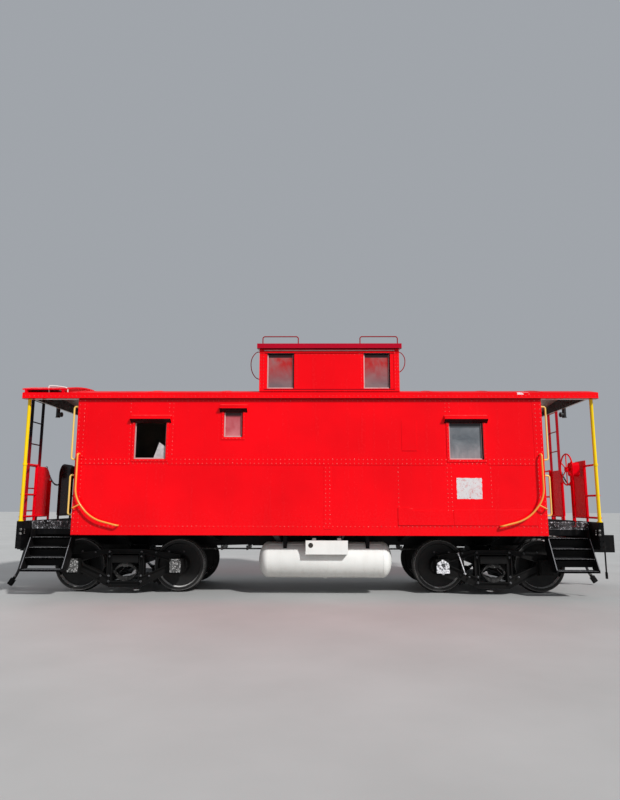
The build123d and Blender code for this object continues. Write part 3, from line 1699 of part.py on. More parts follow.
reservoir_x = (bearer_x[2] + bearer_x[3]) / 2
reservoir_z = frame_top - reservoir_drop
with BuildPart() as air_reservoir:
    with Locations(Location((reservoir_x, reservoir_y, reservoir_z), (0, 90, 0))):
        Cylinder(reservoir_radius, bay_length)
    fillet(air_reservoir.part.edges().filter_by(GeomType.CIRCLE), reservoir_corner)
    for side in (-1, 1):
        with Locations(
            (reservoir_x + side * bay_length / 3, reservoir_y, (reservoir_z + frame_top) / 2)
        ):
            Box(hanger_width, 2 * reservoir_radius, frame_top - reservoir_z)
save(air_reservoir.part, "air_reservoir")

# Coupler body: shank, head with guard arm, and the lugs round the knuckle
with BuildPart() as coupler:
    with Locations(((shank_inner_x + coupler_head_x) / 2, 0, coupler_z)):
        Box(coupler_head_x - shank_inner_x, 2 * shank_half_width, 2 * shank_half_width)
    # Draft gear that holds the shank between the webs of the centre sill
    with Locations((draft_gear_x, 0, coupler_z + draft_gear_rise)):
        Box(draft_gear_length, 2 * channel_half_width, 2 * shank_half_width)
    with BuildSketch(Plane.XY.offset(coupler_z - coupler_half_height)):
        with BuildLine():
            Polyline(
                (coupler_head_x - 100, shank_half_width),
                (coupler_head_x - 40, 150),
                (pin_x + 20, knuckle_pin_y + 60),
                (pin_x + 62, knuckle_pin_y + 15),
                (pin_x + 50, knuckle_pin_y - 65),
                (pin_x - 20, 10),
                (pin_x - 20, -50),
                (coupler_head_x + 150, -80),
                (coupler_head_x + coupler_nose_reach - 10, -150),
                (coupler_head_x + coupler_nose_reach, -185),
                (coupler_head_x + 150, -190),
                (coupler_head_x - 40, -150),
                (coupler_head_x - 100, -shank_half_width),
                close=True,
            )
        make_face()
    extrude(amount=2 * coupler_half_height)
    with BuildSketch(Plane.XY.offset(coupler_z - knuckle_slot_half_height)):
        with Locations((pin_x + 136, knuckle_pin_y)):
            Rectangle(400, 200)
    extrude(amount=2 * knuckle_slot_half_height, mode=Mode.SUBTRACT)
    with Locations((pin_x, knuckle_pin_y, coupler_z)):
        Cylinder(knuckle_pin_radius, 2 * coupler_half_height)

with BuildPart() as knuckle:
    with BuildSketch(Plane.XY.offset(coupler_z - knuckle_half_height)):
        with Locations((pin_x, knuckle_pin_y)):
            Circle(knuckle_radius)
        with BuildLine():
            Polyline(
                (pin_x, knuckle_pin_y + knuckle_radius),
                (pin_x + 95, knuckle_pin_y + 50),
                (pin_x + 140, knuckle_pin_y + 10),
                (pin_x + 150, knuckle_pin_y - 60),
                (pin_x + 130, knuckle_pin_y - 115),
                (pin_x + 85, knuckle_pin_y - 120),
                (pin_x + 75, knuckle_pin_y - 60),
                (pin_x + 30, knuckle_pin_y - 50),
                close=True,
            )
        make_face()
        with Locations((pin_x, knuckle_pin_y)):
            Circle(knuckle_pin_radius + knuckle_pin_clearance, mode=Mode.SUBTRACT)
    extrude(amount=2 * knuckle_half_height)

with BuildPart() as couplers:
    add(coupler.part)
    add(turned(coupler.part, 180))
save(couplers.part, "couplers")
for name, angle in ends:
    save(turned(knuckle.part, angle), f"knuckle_{name}")

# Uncoupling levers along the end sills, kinked out past the strikers
lever_x = end_sill_outer_x + lever_reach
lever_out_x = lever_x + lever_kink
with BuildPart() as uncoupling_lever:
    add(
        bar(
            [
                (lever_out_x, 40, lever_z),
                (lever_out_x, -striker_half_width - 20, lever_z),
                (lever_x, -striker_half_width - 90, lever_z),
                (lever_x, -lever_end_y, lever_z),
                (lever_x, -lever_end_y, lever_z - lever_length),
            ],
            [40, 40, 60],
            lever_radius,
        )
    )
    for y in lever_bracket_y:
        with Locations((end_sill_outer_x + (lever_reach + 14) / 2, -y, lever_z)):
            Box(lever_reach + 14, 30, 50)
    with Locations((lever_x, -lever_end_y, lever_z - lever_length + 50)):
        Box(16, 60, 100)
with BuildPart() as uncoupling_levers:
    add(uncoupling_lever.part)
    add(turned(uncoupling_lever.part, 180))
save(uncoupling_levers.part, "uncoupling_levers")

# Angle cocks with the air hoses and their couplings
hose_path = [Vector(end_sill_outer_x + reach, hose_y, z) for reach, z in hose_points]
hose_start, hose_end = hose_path[0], hose_path[-1]
exit_direction = (hose_path[1] - hose_start).normalized()
end_direction = (hose_end - hose_path[-2]).normalized()
pipe_z = hose_start.Z + pipe_rise
pipe_end_x = hose_start.X - hose_radius
with BuildPart() as angle_cock:
    with BuildSketch(Plane(origin=hose_start, z_dir=-exit_direction)):
        Circle(hose_radius + hose_end_collar)
    extrude(amount=cock_length)
    add(
        block(
            (end_sill_outer_x, hose_y - pipe_half_width, pipe_z - pipe_half_width),
            (pipe_end_x, hose_y + pipe_half_width, pipe_z + pipe_half_width),
        )
    )
    # Handle on its stem
    with Locations((pipe_end_x - 90, hose_y, pipe_z + 35)):
        Cylinder(12, 60)
        with Locations((30, 0, 30)):
            Box(110, 18, 10)
with BuildPart() as angle_cocks:
    add(angle_cock.part)
    add(turned(angle_cock.part, 180))
save(angle_cocks.part, "angle_cocks")

runs = [(after - before).length for before, after in zip(hose_path, hose_path[1:])]
radii = []
for index in range(1, len(hose_path) - 1):
    before = hose_path[index] - hose_path[index - 1]
    after = hose_path[index + 1] - hose_path[index]
    half_turn = math.radians(before.get_angle(after)) / 2
    radii.append(0.45 * min(runs[index - 1], runs[index]) / math.tan(half_turn))
print("hose bend radii", [round(radius) for radius in radii])
with BuildPart() as air_hose:
    with BuildLine() as hose_route:
        FilletPolyline(*hose_path, radius=radii)
    with BuildSketch(Plane(origin=hose_route.line @ 0, z_dir=hose_route.line % 0)):
        Circle(hose_radius)
    sweep()
hose_length = sum(edge.length for edge in hose_route.line.edges())
hose_section = math.pi * hose_radius**2
print("hose length", round(hose_length, 1))
print("hose volume ratio", round(air_hose.part.volume / (hose_section * hose_length), 4))

# Hose coupling: collar and flattened head
with BuildPart() as glad_hand:
    with BuildSketch(Plane(origin=hose_end, z_dir=end_direction)):
        Circle(hose_radius + 4)
    extrude(amount=60)
    with BuildSketch(Plane(origin=hose_end + end_direction * 40, z_dir=end_direction)):
        RectangleRounded(96, 60, 20)
    extrude(amount=glad_hand_length - 40)
for name, angle in ends:
    save(turned(air_hose.part, angle), f"air_hose_{name}")
    save(turned(glad_hand.part, angle), f"glad_hand_{name}")
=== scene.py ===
import math
import random

import bmesh
import bpy
from mathutils import Matrix, Vector


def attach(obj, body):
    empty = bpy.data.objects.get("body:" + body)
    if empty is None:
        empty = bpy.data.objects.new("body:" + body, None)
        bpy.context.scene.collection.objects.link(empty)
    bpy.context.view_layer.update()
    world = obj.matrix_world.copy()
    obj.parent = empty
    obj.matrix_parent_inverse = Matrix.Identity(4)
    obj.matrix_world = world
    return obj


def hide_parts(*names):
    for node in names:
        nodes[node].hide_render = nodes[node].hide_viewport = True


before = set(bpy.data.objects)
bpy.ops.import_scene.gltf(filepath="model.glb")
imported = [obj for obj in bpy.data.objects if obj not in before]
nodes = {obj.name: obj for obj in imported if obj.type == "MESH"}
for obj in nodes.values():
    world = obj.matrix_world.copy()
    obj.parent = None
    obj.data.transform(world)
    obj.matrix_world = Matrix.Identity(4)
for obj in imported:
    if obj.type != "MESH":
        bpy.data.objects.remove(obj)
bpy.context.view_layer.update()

scene = bpy.context.scene
scene.view_settings.view_transform = "Standard"
scene.view_settings.look = "None"
scene.view_settings.exposure = 0.0

# Sizes of the frame that details hang on, in metres
WALL_Y = 1.45
INNER_Y = 1.386
ROOF_Y = 1.50
BODY_X = 3.794
WALL_LOW = 0.962
WALL_TOP = 3.156
SILL_X = 4.68
SILL_Y = 1.42
STEP_LOW_X, STEP_HIGH_X = 3.880, 4.530
TRUCK_X = 3.012
HALF_WHEELBASE = 0.8382
AXLE_Z = 0.4445
ENDS = (("a", -1), ("b", 1))
SIDES = (("near", -1), ("far", 1))
UP = Vector((0, 0, 1))
# How deep a piece sinks into what carries it
SINK = 0.002

# Window openings: low x, high x, low z, high z
LEFT_WINDOW = (-2.839, -2.322, 2.169, 2.782)
SMALL_WINDOW = (-1.383, -1.078, 2.528, 2.956)
RIGHT_WINDOW = (2.276, 2.831, 2.166, 2.781)
SIDE_WINDOWS = {-1: (LEFT_WINDOW, SMALL_WINDOW, RIGHT_WINDOW), 1: (LEFT_WINDOW, RIGHT_WINDOW)}
CUPOLA_WINDOWS = ((-0.690, -0.244, 3.332, 3.932), (0.907, 1.344, 3.332, 3.932))

# Camera, fitted to the photograph
SENSOR_HEIGHT = 36.0
LENS = 27.951
CAMERA_PLACE = (0.1407, -11.5141, 1.4671)
camera_right = Vector((0.99993, 0.011692, 0.002006))
camera_up = Vector((-0.000062, -0.163943, 0.98647))
camera_data = bpy.data.cameras.new("photo_camera")
camera_data.sensor_fit = "VERTICAL"
camera_data.sensor_width = camera_data.sensor_height = SENSOR_HEIGHT
camera_data.lens = LENS
camera_data.clip_end = 300.0
camera = bpy.data.objects.new("photo_camera", camera_data)
scene.collection.objects.link(camera)
camera_axes = Matrix((camera_right, camera_up, camera_right.cross(camera_up)))
camera.matrix_world = Matrix.Translation(CAMERA_PLACE) @ camera_axes.transposed().to_4x4()
scene.camera = camera


# Materials
class Value:
    """Number that a material works out for each point of a surface."""

    def __init__(self, paint, socket):
        self.paint = paint
        self.socket = socket

    def __add__(self, other):
        return self.paint.math("ADD", self, other)

    def __sub__(self, other):
        return self.paint.math("SUBTRACT", self, other)

    def __rsub__(self, other):
        return self.paint.math("SUBTRACT", other, self)

    def __mul__(self, other):
        """Product; of masks, 1 where both of them hold."""
        return self.paint.math("MULTIPLY", self, other)

    def __abs__(self):
        return self.paint.math("ABSOLUTE", self)

    def heaped(self, other):
        """Sum that stays at 1 or below."""
        return self.paint.math("ADD", self, other, clamp=True)

    def over(self, limit):
        """Mask: 1 where the value is over the limit."""
        return self.paint.math("GREATER_THAN", self, limit)

    def under(self, limit):
        return self.paint.math("LESS_THAN", self, limit)

    def inside(self, low, high):
        return self.over(low) * self.under(high)

    def range(self, low, high, to_low=0.0, to_high=1.0):
        """Share of the way from low to high, or the value as far between to_low and to_high."""
        node = self.paint.tree.nodes.new("ShaderNodeMapRange")
        limits = {"Value": self, "From Min": low, "From Max": high, "To Min": to_low, "To Max": to_high}
        for name, number in limits.items():
            self.paint.link(number, node.inputs[name])
        return Value(self.paint, node.outputs["Result"])


class Paint:
    """A material being built: one shader, the object's own coordinates, short node helpers."""

    def __init__(self, name):
        self.material = bpy.data.materials.new(name)
        self.material.use_nodes = True
        self.tree = self.material.node_tree
        self.tree.nodes.clear()
        output = self.tree.nodes.new("ShaderNodeOutputMaterial")
        self.shader = self.tree.nodes.new("ShaderNodeBsdfPrincipled")
        self.link(self.shader.outputs["BSDF"], output.inputs["Surface"])
        self.coord = self.tree.nodes.new("ShaderNodeTexCoord").outputs["Object"]

    def link(self, source, target):
        """Wire a socket to another one, or set the other one's value."""
        if isinstance(source, Value):
            source = source.socket
        if isinstance(source, bpy.types.NodeSocket):
            self.tree.links.new(source, target)
        elif isinstance(source, tuple) and target.type == "RGBA":
            target.default_value = (*source, 1.0)[:4]
        else:
            target.default_value = source

    def noise(self, scale, detail=4.0, rough=0.55, stretch=(1, 1, 1), distortion=0.0):
        mapping = self.tree.nodes.new("ShaderNodeMapping")
        self.link(self.coord, mapping.inputs["Vector"])
        mapping.inputs["Scale"].default_value = stretch
        node = self.tree.nodes.new("ShaderNodeTexNoise")
        self.link(mapping.outputs["Vector"], node.inputs["Vector"])
        node.inputs["Scale"].default_value = scale
        node.inputs["Detail"].default_value = detail
        node.inputs["Roughness"].default_value = rough
        node.inputs["Distortion"].default_value = distortion
        return Value(self, node.outputs["Fac"])

    def part(self, vector, letter):
        node = self.tree.nodes.new("ShaderNodeSeparateXYZ")
        self.link(vector, node.inputs["Vector"])
        return Value(self, node.outputs[letter])

    def axis(self, letter):
        """Coordinate in the frame."""
        return self.part(self.coord, letter)

    def normal(self, letter):
        """Part of the direction that the surface faces."""
        geometry = self.tree.nodes.new("ShaderNodeNewGeometry")
        return self.part(geometry.outputs["True Normal"], letter)

    def math(self, kind, first, second=0.0, clamp=False):
        node = self.tree.nodes.new("ShaderNodeMath")
        node.operation = kind
        node.use_clamp = clamp
        self.link(first, node.inputs[0])
        self.link(second, node.inputs[1])
        return Value(self, node.outputs["Value"])

    def largest(self, first, *others):
        """Largest of the values; of masks, 1 where any of them holds."""
        for other in others:
            first = self.math("MAXIMUM", first, other)
        return first

    def mix(self, share, first, second):
        """Colour between two colours."""
        node = self.tree.nodes.new("ShaderNodeMix")
        node.data_type = "RGBA"
        self.link(share, node.inputs[0])
        self.link(first, node.inputs[6])
        self.link(second, node.inputs[7])
        return node.outputs[2]

    def bump(self, height, distance, strength=1.0, after=None):
        node = self.tree.nodes.new("ShaderNodeBump")
        node.inputs["Strength"].default_value = strength
        node.inputs["Distance"].default_value = distance
        self.link(height, node.inputs["Height"])
        if after is not None:
            self.link(after, node.inputs["Normal"])
        return node.outputs["Normal"]

    def finish(self, colour, roughness, normal, **fixed):
        self.link(colour, self.shader.inputs["Base Color"])
        self.link(roughness, self.shader.inputs["Roughness"])
        self.link(normal, self.shader.inputs["Normal"])
        for name, value in fixed.items():
            self.link(value, self.shader.inputs[name.replace("_", " ")])
        return self.material


def scaled(colour, factor):
    return tuple(min(1.0, channel * factor) for channel in colour)


def painted(
    name, colour, dust=(0.32, 0.25, 0.18), rough=(0.22, 0.42), speck_share=0.12, streaks=0.15, chips=0.0,
    under=(0.09, 0.05, 0.03), waves=0.0108, low_dust=None, coat=0.1, sheen=0.3,
):
    """Coat of paint with uneven colour, specks of dust, runs of dirt, chips down to the metal and a waved
    surface; on the rivets the pale specks are a painted highlight instead of dust.
    """
    paint = Paint(name)
    broad = paint.noise(0.9, 3.0)
    fine = paint.noise(16.0, 6.0, 0.65)
    run = paint.noise(5.0, 4.0, 0.6, stretch=(2.4, 2.4, 0.16))
    shade = paint.mix(broad.range(0.3, 0.7), scaled(colour, 0.86), scaled(colour, 1.06))
    specks = fine.range(0.52, 0.8, 0.0, speck_share)
    grime = specks.heaped(run.range(0.5, 0.78, 0.0, streaks))
    if low_dust is not None:
        low_z, high_z, share = low_dust
        settled = paint.axis("Z").range(low_z, high_z, share, 0.0) * fine
        grime = grime.heaped(settled)
    tone = paint.mix(grime, shade, dust)
    if chips > 0.0:
        flake = paint.noise(38.0, 8.0, 0.7, distortion=0.4)
        bare = flake.range(0.735 - chips, 0.75 - chips)
        tone = paint.mix(bare, tone, under)
        grime = grime.heaped(bare)
    roughness = (grime + fine * 0.25).range(0.0, 0.7, *rough)
    wave = paint.bump(paint.noise(1.7, 2.0), waves, 0.6)
    surface = paint.bump(paint.noise(140.0, 2.0), 0.0003, 0.25, after=wave)
    return paint.finish(
        tone, roughness, surface, Coat_Weight=coat, Coat_Roughness=0.12, Specular_IOR_Level=sheen
    )


def worn_metal(name, colour, bright, rough=(0.35, 0.75), edge=0.55, scale=30.0, metallic=0.0):
    """Dark metal with bright patches, which are scuffs on some parts and painted glints on others, and a
    dusty, pitted skin.
    """
    paint = Paint(name)
    broad = paint.noise(3.0, 5.0, 0.6)
    bright_patch = paint.noise(scale, 8.0, 0.72).range(edge, edge + 0.12)
    dusty = broad.range(0.35, 0.75, 0.0, 0.35)
    tone = paint.mix(bright_patch, paint.mix(dusty, colour, scaled(bright, 0.45)), bright)
    pits = paint.bump(paint.noise(70.0, 5.0, 0.6), 0.0014, 0.5)
    roughness = broad.range(0.3, 0.7, *rough)
    return paint.finish(tone, roughness, pits, Metallic=metallic, Specular_IOR_Level=0.15)


RED = (0.93, 0.0, 0.005)
FITTINGS_RED = (0.82, 0.0, 0.008)
BLACK = (0.0035, 0.0035, 0.004)
CREAM = (0.46, 0.44, 0.38)
# Regions of the body that are painted or worn in their own way: low and high limits
WINDOW_BAND_Z = (2.1, 3.0)
CUPOLA_BAND_X, CUPOLA_BAND_Z = (-0.74, 1.40), (3.32, 3.945)
CUPOLA_ROOM_X, CUPOLA_ROOM_Z = (-0.755, 1.43), (3.2, 4.05)
REVEAL_Y, REVEAL_X = 1.39, 3.7
CABIN_X, CABIN_TOP = 3.72, 3.24
CANOPY_Y, CANOPY_LOW = 1.42, 3.1
ARCH_X = 4.5
PEELED_X, PEELED_Y, PEELED_Z = (3.40, 3.60), -1.44, (3.222, 3.30)
# How far off a wall's face still counts as on it
SKIN = 0.0005


def body_paint(name, colour):
    """Red outside, with painted shade under the hoods, eaves and canopy arches; pale, dusty paint in the
    cabin and under the canopies.
    """
    paint = Paint(name)
    x, y, z = (paint.axis(letter) for letter in "XYZ")
    along, across = abs(x), abs(y)
    facing_up = paint.normal("Z")
    fine = paint.noise(18.0, 6.0, 0.65)
    run = paint.noise(4.0, 4.0, 0.6, stretch=(3.0, 3.0, 0.12))
    flake = paint.noise(30.0, 8.0, 0.7, distortion=0.5)
    uneven = paint.noise(0.7, 3.0).range(0.3, 0.7)
    shade = paint.mix(uneven, scaled(colour, 0.88), scaled(colour, 1.08))
    low = z.range(0.95, 1.5, 0.16, 0.0) * fine
    grime = run.range(0.52, 0.8, 0.0, 0.09).heaped(low)
    tone = paint.mix(grime, shade, (0.48, 0.012, 0.014))
    tone = paint.mix(flake.range(0.765, 0.775), tone, (0.85, 0.45, 0.42))
    # Old pale paint on the reveals of the openings
    at_cupola = z.inside(*CUPOLA_BAND_Z) * x.inside(*CUPOLA_BAND_X)
    at_opening = paint.largest(z.inside(*WINDOW_BAND_Z), at_cupola)
    edgewise = abs(paint.normal("Y")).under(0.5)
    in_wall = across.inside(REVEAL_Y, WALL_Y - SKIN) * along.under(REVEAL_X) * edgewise
    tone = paint.mix(in_wall * at_opening, tone, (0.5, 0.24, 0.24))
    # Painted shade: faces that look down under the hoods and eaves, darkened to near black
    shaded_underside = facing_up.under(-0.25) * across.over(WALL_Y + SKIN)
    tone = paint.mix(shaded_underside, tone, (0.012, 0.0005, 0.0008))
    # Duller, dustier paint on top of the roofs
    upward = facing_up.over(0.6)
    settled = upward * paint.noise(2.6, 6.0, 0.65).range(0.3, 0.75, 0.1, 0.55)
    tone = paint.mix(settled, tone, scaled(colour, 0.42))
    # Paint peeled down to white on the near edge of the roof
    ragged = paint.noise(15.0, 4.0, 0.6).range(0.44, 0.5)
    peeled = x.inside(*PEELED_X) * z.inside(*PEELED_Z) * y.under(PEELED_Y) * ragged
    tone = paint.mix(peeled, tone, (0.86, 0.70, 0.70))
    # Cabin, cupola room and the undersides of the canopies
    low_room = along.under(CABIN_X) * across.under(INNER_Y) * z.under(CABIN_TOP)
    high_room = across.under(INNER_Y) * x.inside(*CUPOLA_ROOM_X) * z.inside(*CUPOLA_ROOM_Z)
    canopy = facing_up.under(-0.5) * across.under(CANOPY_Y) * z.over(CANOPY_LOW)
    stain = paint.mix(paint.noise(2.2, 5.0).range(0.4, 0.75), CREAM, scaled(CREAM, 0.55))
    tone = paint.mix(paint.largest(low_room, high_room, canopy), tone, stain)
    # Painted shade: the inner faces of the canopies' end arches, darkened to near black
    shaded_arch = (paint.normal("X") * x).under(-2.0) * along.over(ARCH_X)
    tone = paint.mix(shaded_arch, tone, (0.008, 0.006, 0.007))
    roughness = (grime + fine * 0.3).range(0.0, 0.6, 0.2, 0.42)
    roughness = paint.largest(roughness, upward * 0.62)
    canned = paint.bump(paint.noise(1.3, 2.0), 0.012, 0.55)
    peel = paint.bump(paint.noise(150.0, 2.0), 0.0003, 0.25, after=canned)
    coat = (1.0 - upward) * 0.06
    return paint.finish(tone, roughness, peel, Coat_Weight=coat, Coat_Roughness=0.1, Specular_IOR_Level=0.14)


# Zones of a wheel: low and high radius, and the tread's place across the car
RIM, LIP, TREAD = (0.352, 0.405), (0.335, 0.366), (0.405, 0.4235)
TREAD_Y = (0.705, 0.83)


def wheel_material(name, axle_x):
    """Dark, dusty wheel, polished where it runs on the rail, with painted highlights on the rim and on the
    upward faces of the inner lip.
    """
    paint = Paint(name)
    dx = paint.axis("X") - axle_x
    dz = paint.axis("Z") - AXLE_Z
    radius = paint.math("SQRT", dx * dx + dz * dz)
    fine = paint.noise(26.0, 6.0, 0.65)
    dust = paint.noise(5.0, 4.0).range(0.35, 0.75, 0.0, 0.6)
    tone = paint.mix(dust, (0.005, 0.005, 0.005), (0.018, 0.015, 0.012))
    # Painted highlight: a faint pale ring over the rim
    rim = radius.inside(*RIM)
    tone = paint.mix(rim * 0.35, tone, (0.02, 0.019, 0.018))
    # Painted highlight: the inner lip's upward faces, where the sun falls, made pale
    sunlit_lip = radius.inside(*LIP) * paint.normal("Z").over(0.45)
    tone = paint.mix(sunlit_lip * fine.range(0.25, 0.45), tone, (0.75, 0.74, 0.72))
    across = abs(paint.axis("Y"))
    tread = radius.inside(*TREAD) * across.inside(*TREAD_Y)
    shine = tread * fine.range(0.2, 0.5, 0.7, 1.0)
    tone = paint.mix(shine, tone, (0.16, 0.155, 0.15))
    roughness = (fine - shine * 0.5).range(0.0, 0.8, 0.25, 0.75)
    skin = paint.bump(paint.noise(60.0, 5.0), 0.0012, 0.5)
    return paint.finish(tone, roughness, skin, Metallic=0.25)


def ladder_material(name):
    """Red ladders, a darker red than the other fittings as painted shade, and near black with painted shade
    on the upper part of the left one.
    """
    paint = Paint(name)
    broad = paint.noise(2.0, 4.0)
    red = paint.mix(broad.range(0.3, 0.7), (0.28, 0.001, 0.005), (0.42, 0.003, 0.012))
    height = paint.axis("Z") + paint.noise(6.0, 5.0) * 0.5
    # Painted shade: the upper part of the left ladder, under the canopy roof, made near black
    upper_shade = paint.axis("X").under(0.0) * height.range(2.35, 2.8)
    tone = paint.mix(upper_shade, red, (0.006, 0.003, 0.005))
    worn = paint.bump(paint.noise(90.0, 4.0), 0.0006, 0.4)
    return paint.finish(tone, broad.range(0.3, 0.7, 0.3, 0.5), worn, Specular_IOR_Level=0.1)


def step_material(name):
    """Black step plates, with a painted highlight on the sloping edges of their stringers."""
    paint = Paint(name)
    broad = paint.noise(2.4, 4.0)
    fine = paint.noise(48.0, 6.0, 0.7)
    tone = paint.mix(broad.range(0.3, 0.75), BLACK, (0.009, 0.008, 0.008))
    tone = paint.mix(fine.range(0.66, 0.74), tone, (0.06, 0.058, 0.056))
    # Painted highlight: the stringers' sloping edges, which face the light, made pale grey
    slope = paint.normal("Z").inside(0.15, 0.85)
    tone = paint.mix(slope * fine.range(0.3, 0.5, 0.4, 1.0), tone, (0.2, 0.2, 0.21))
    skin = paint.bump(fine, 0.0008, 0.4)
    return paint.finish(tone, broad.range(0.3, 0.7, 0.35, 0.6), skin, Specular_IOR_Level=0.12)


def fittings_material(name):
    """Red paint of rails, boards and doors, with painted shade darkening the left platform's far corner to
    near black.
    """
    paint = Paint(name)
    x, y = paint.axis("X"), paint.axis("Y")
    fine = paint.noise(16.0, 6.0, 0.65)
    broad = paint.noise(0.9, 3.0).range(0.3, 0.7)
    shade = paint.mix(broad, scaled(FITTINGS_RED, 0.86), scaled(FITTINGS_RED, 1.06))
    tone = paint.mix(fine.range(0.52, 0.8, 0.0, 0.15), shade, (0.3, 0.02, 0.02))
    bare = paint.noise(34.0, 8.0, 0.7, distortion=0.4).range(0.715, 0.73)
    tone = paint.mix(bare, tone, (0.75, 0.42, 0.16))
    # Painted shade: the far corner of the left platform, where the body keeps the sun off, made near black
    far_left = (y - x).over(4.62) * x.under(-4.0)
    corner = far_left * paint.axis("Z").inside(1.0, 2.3)
    corner_shade = paint.mix(fine.range(0.3, 0.8), (0.012, 0.003, 0.002), (0.05, 0.004, 0.003))
    tone = paint.mix(corner, tone, corner_shade)
    roughness = (bare + fine * 0.5).range(0.0, 0.7, 0.2, 0.4)
    surface = paint.bump(paint.noise(140.0, 2.0), 0.0003, 0.25)
    return paint.finish(tone, roughness, surface, Specular_IOR_Level=0.05)


def board_material(name):
    """Worn floor boards that run across the car."""
    paint = Paint(name)
    boards_per_metre = 7.4
    step = paint.math("FRACT", paint.axis("X") * boards_per_metre)
    gap = step.inside(0.0, 0.03)
    grain = paint.noise(6.0, 8.0, 0.7, stretch=(9.0, 0.7, 1.0), distortion=0.6)
    tone = paint.mix(grain.range(0.3, 0.7), (0.07, 0.045, 0.028), (0.22, 0.16, 0.1))
    tone = paint.mix(gap, tone, (0.012, 0.009, 0.007))
    relief = paint.bump(grain * 0.4 - gap, 0.003)
    return paint.finish(tone, grain.range(0.2, 0.8, 0.55, 0.85), relief)


# Heights of the painted shadow bands at the panes' heads: large and small windows, cupola
LARGE_HEAD, SMALL_HEAD, CUPOLA_HEAD = (2.715, 2.79), (2.885, 2.97), (3.86, 3.95)


def pane_material(name):
    """Weathered plastic panes: clouded, rosy in the cupola and the small window, grey elsewhere."""
    paint = Paint(name)
    z = paint.axis("Z")
    cloud = paint.noise(3.4, 5.0, 0.6, distortion=0.6)
    streak = paint.noise(7.0, 4.0, 0.6, stretch=(2.0, 2.0, 0.25))
    grey = paint.mix(cloud.range(0.3, 0.7), (0.1, 0.115, 0.13), (0.22, 0.235, 0.25))
    grey = paint.mix(z.range(2.2, 2.45, 0.7, 0.0) * streak, grey, (0.62, 0.5, 0.5))
    rosy = paint.mix(cloud.range(0.35, 0.7), (0.48, 0.05, 0.065), (0.62, 0.16, 0.18))
    small = paint.mix(z.range(2.53, 2.68, 0.6, 0.0), rosy, (0.8, 0.3, 0.32))
    in_small = paint.axis("X").inside(-1.5, -0.9)
    high = paint.mix(z.range(3.4, 3.75, 1.0, 0.0), (0.5, 0.012, 0.012), (0.2, 0.13, 0.14))
    high = paint.mix(cloud.range(0.42, 0.68, 0.0, 0.75), high, (0.3, 0.17, 0.17))
    tone = paint.mix(z.over(3.2), paint.mix(in_small, grey, small), high)
    # Painted shadow under each pane's head, which the sun doesn't reach
    top_of_large = z.inside(*LARGE_HEAD) * (1.0 - in_small)
    head = paint.largest(top_of_large, z.inside(*SMALL_HEAD), z.inside(*CUPOLA_HEAD))
    tone = paint.mix(head * 0.9, tone, (0.012, 0.01, 0.012))
    scratch = paint.bump(paint.noise(50.0, 6.0, 0.7, stretch=(1.0, 1.0, 5.0)), 0.0006, 0.4)
    roughness = cloud.range(0.3, 0.7, 0.28, 0.5)
    return paint.finish(tone, roughness, scratch, Transmission_Weight=0.12, IOR=1.49)


def rubber_material(name):
    """Dull hose rubber with fabric ribs and pale dust."""
    paint = Paint(name)
    weave = paint.math("SINE", paint.axis("Z") * 900.0)
    dust = paint.noise(12.0, 6.0).range(0.45, 0.8, 0.0, 0.35)
    tone = paint.mix(dust, (0.012, 0.012, 0.013), (0.085, 0.075, 0.065))
    return paint.finish(tone, dust.range(0.0, 0.35, 0.5, 0.8), paint.bump(weave, 0.0006, 0.5))


def shard_material(name):
    """Clouded plastic of the broken pane."""
    paint = Paint(name)
    cloud = paint.noise(14.0, 5.0, 0.6)
    tone = paint.mix(cloud.range(0.35, 0.7), (0.4, 0.36, 0.36), (0.6, 0.55, 0.55))
    return paint.finish(tone, cloud.range(0.3, 0.7, 0.4, 0.6), paint.bump(cloud, 0.001, 0.4))


def floor_paint(name):
    """Pale, faintly uneven studio floor."""
    paint = Paint(name)
    tone = paint.mix(paint.noise(0.6, 4.0).range(0.3, 0.7), (0.4, 0.4, 0.39), (0.45, 0.45, 0.44))
    return paint.finish(tone, 0.75, paint.bump(paint.noise(40.0, 3.0), 0.001, 0.3))


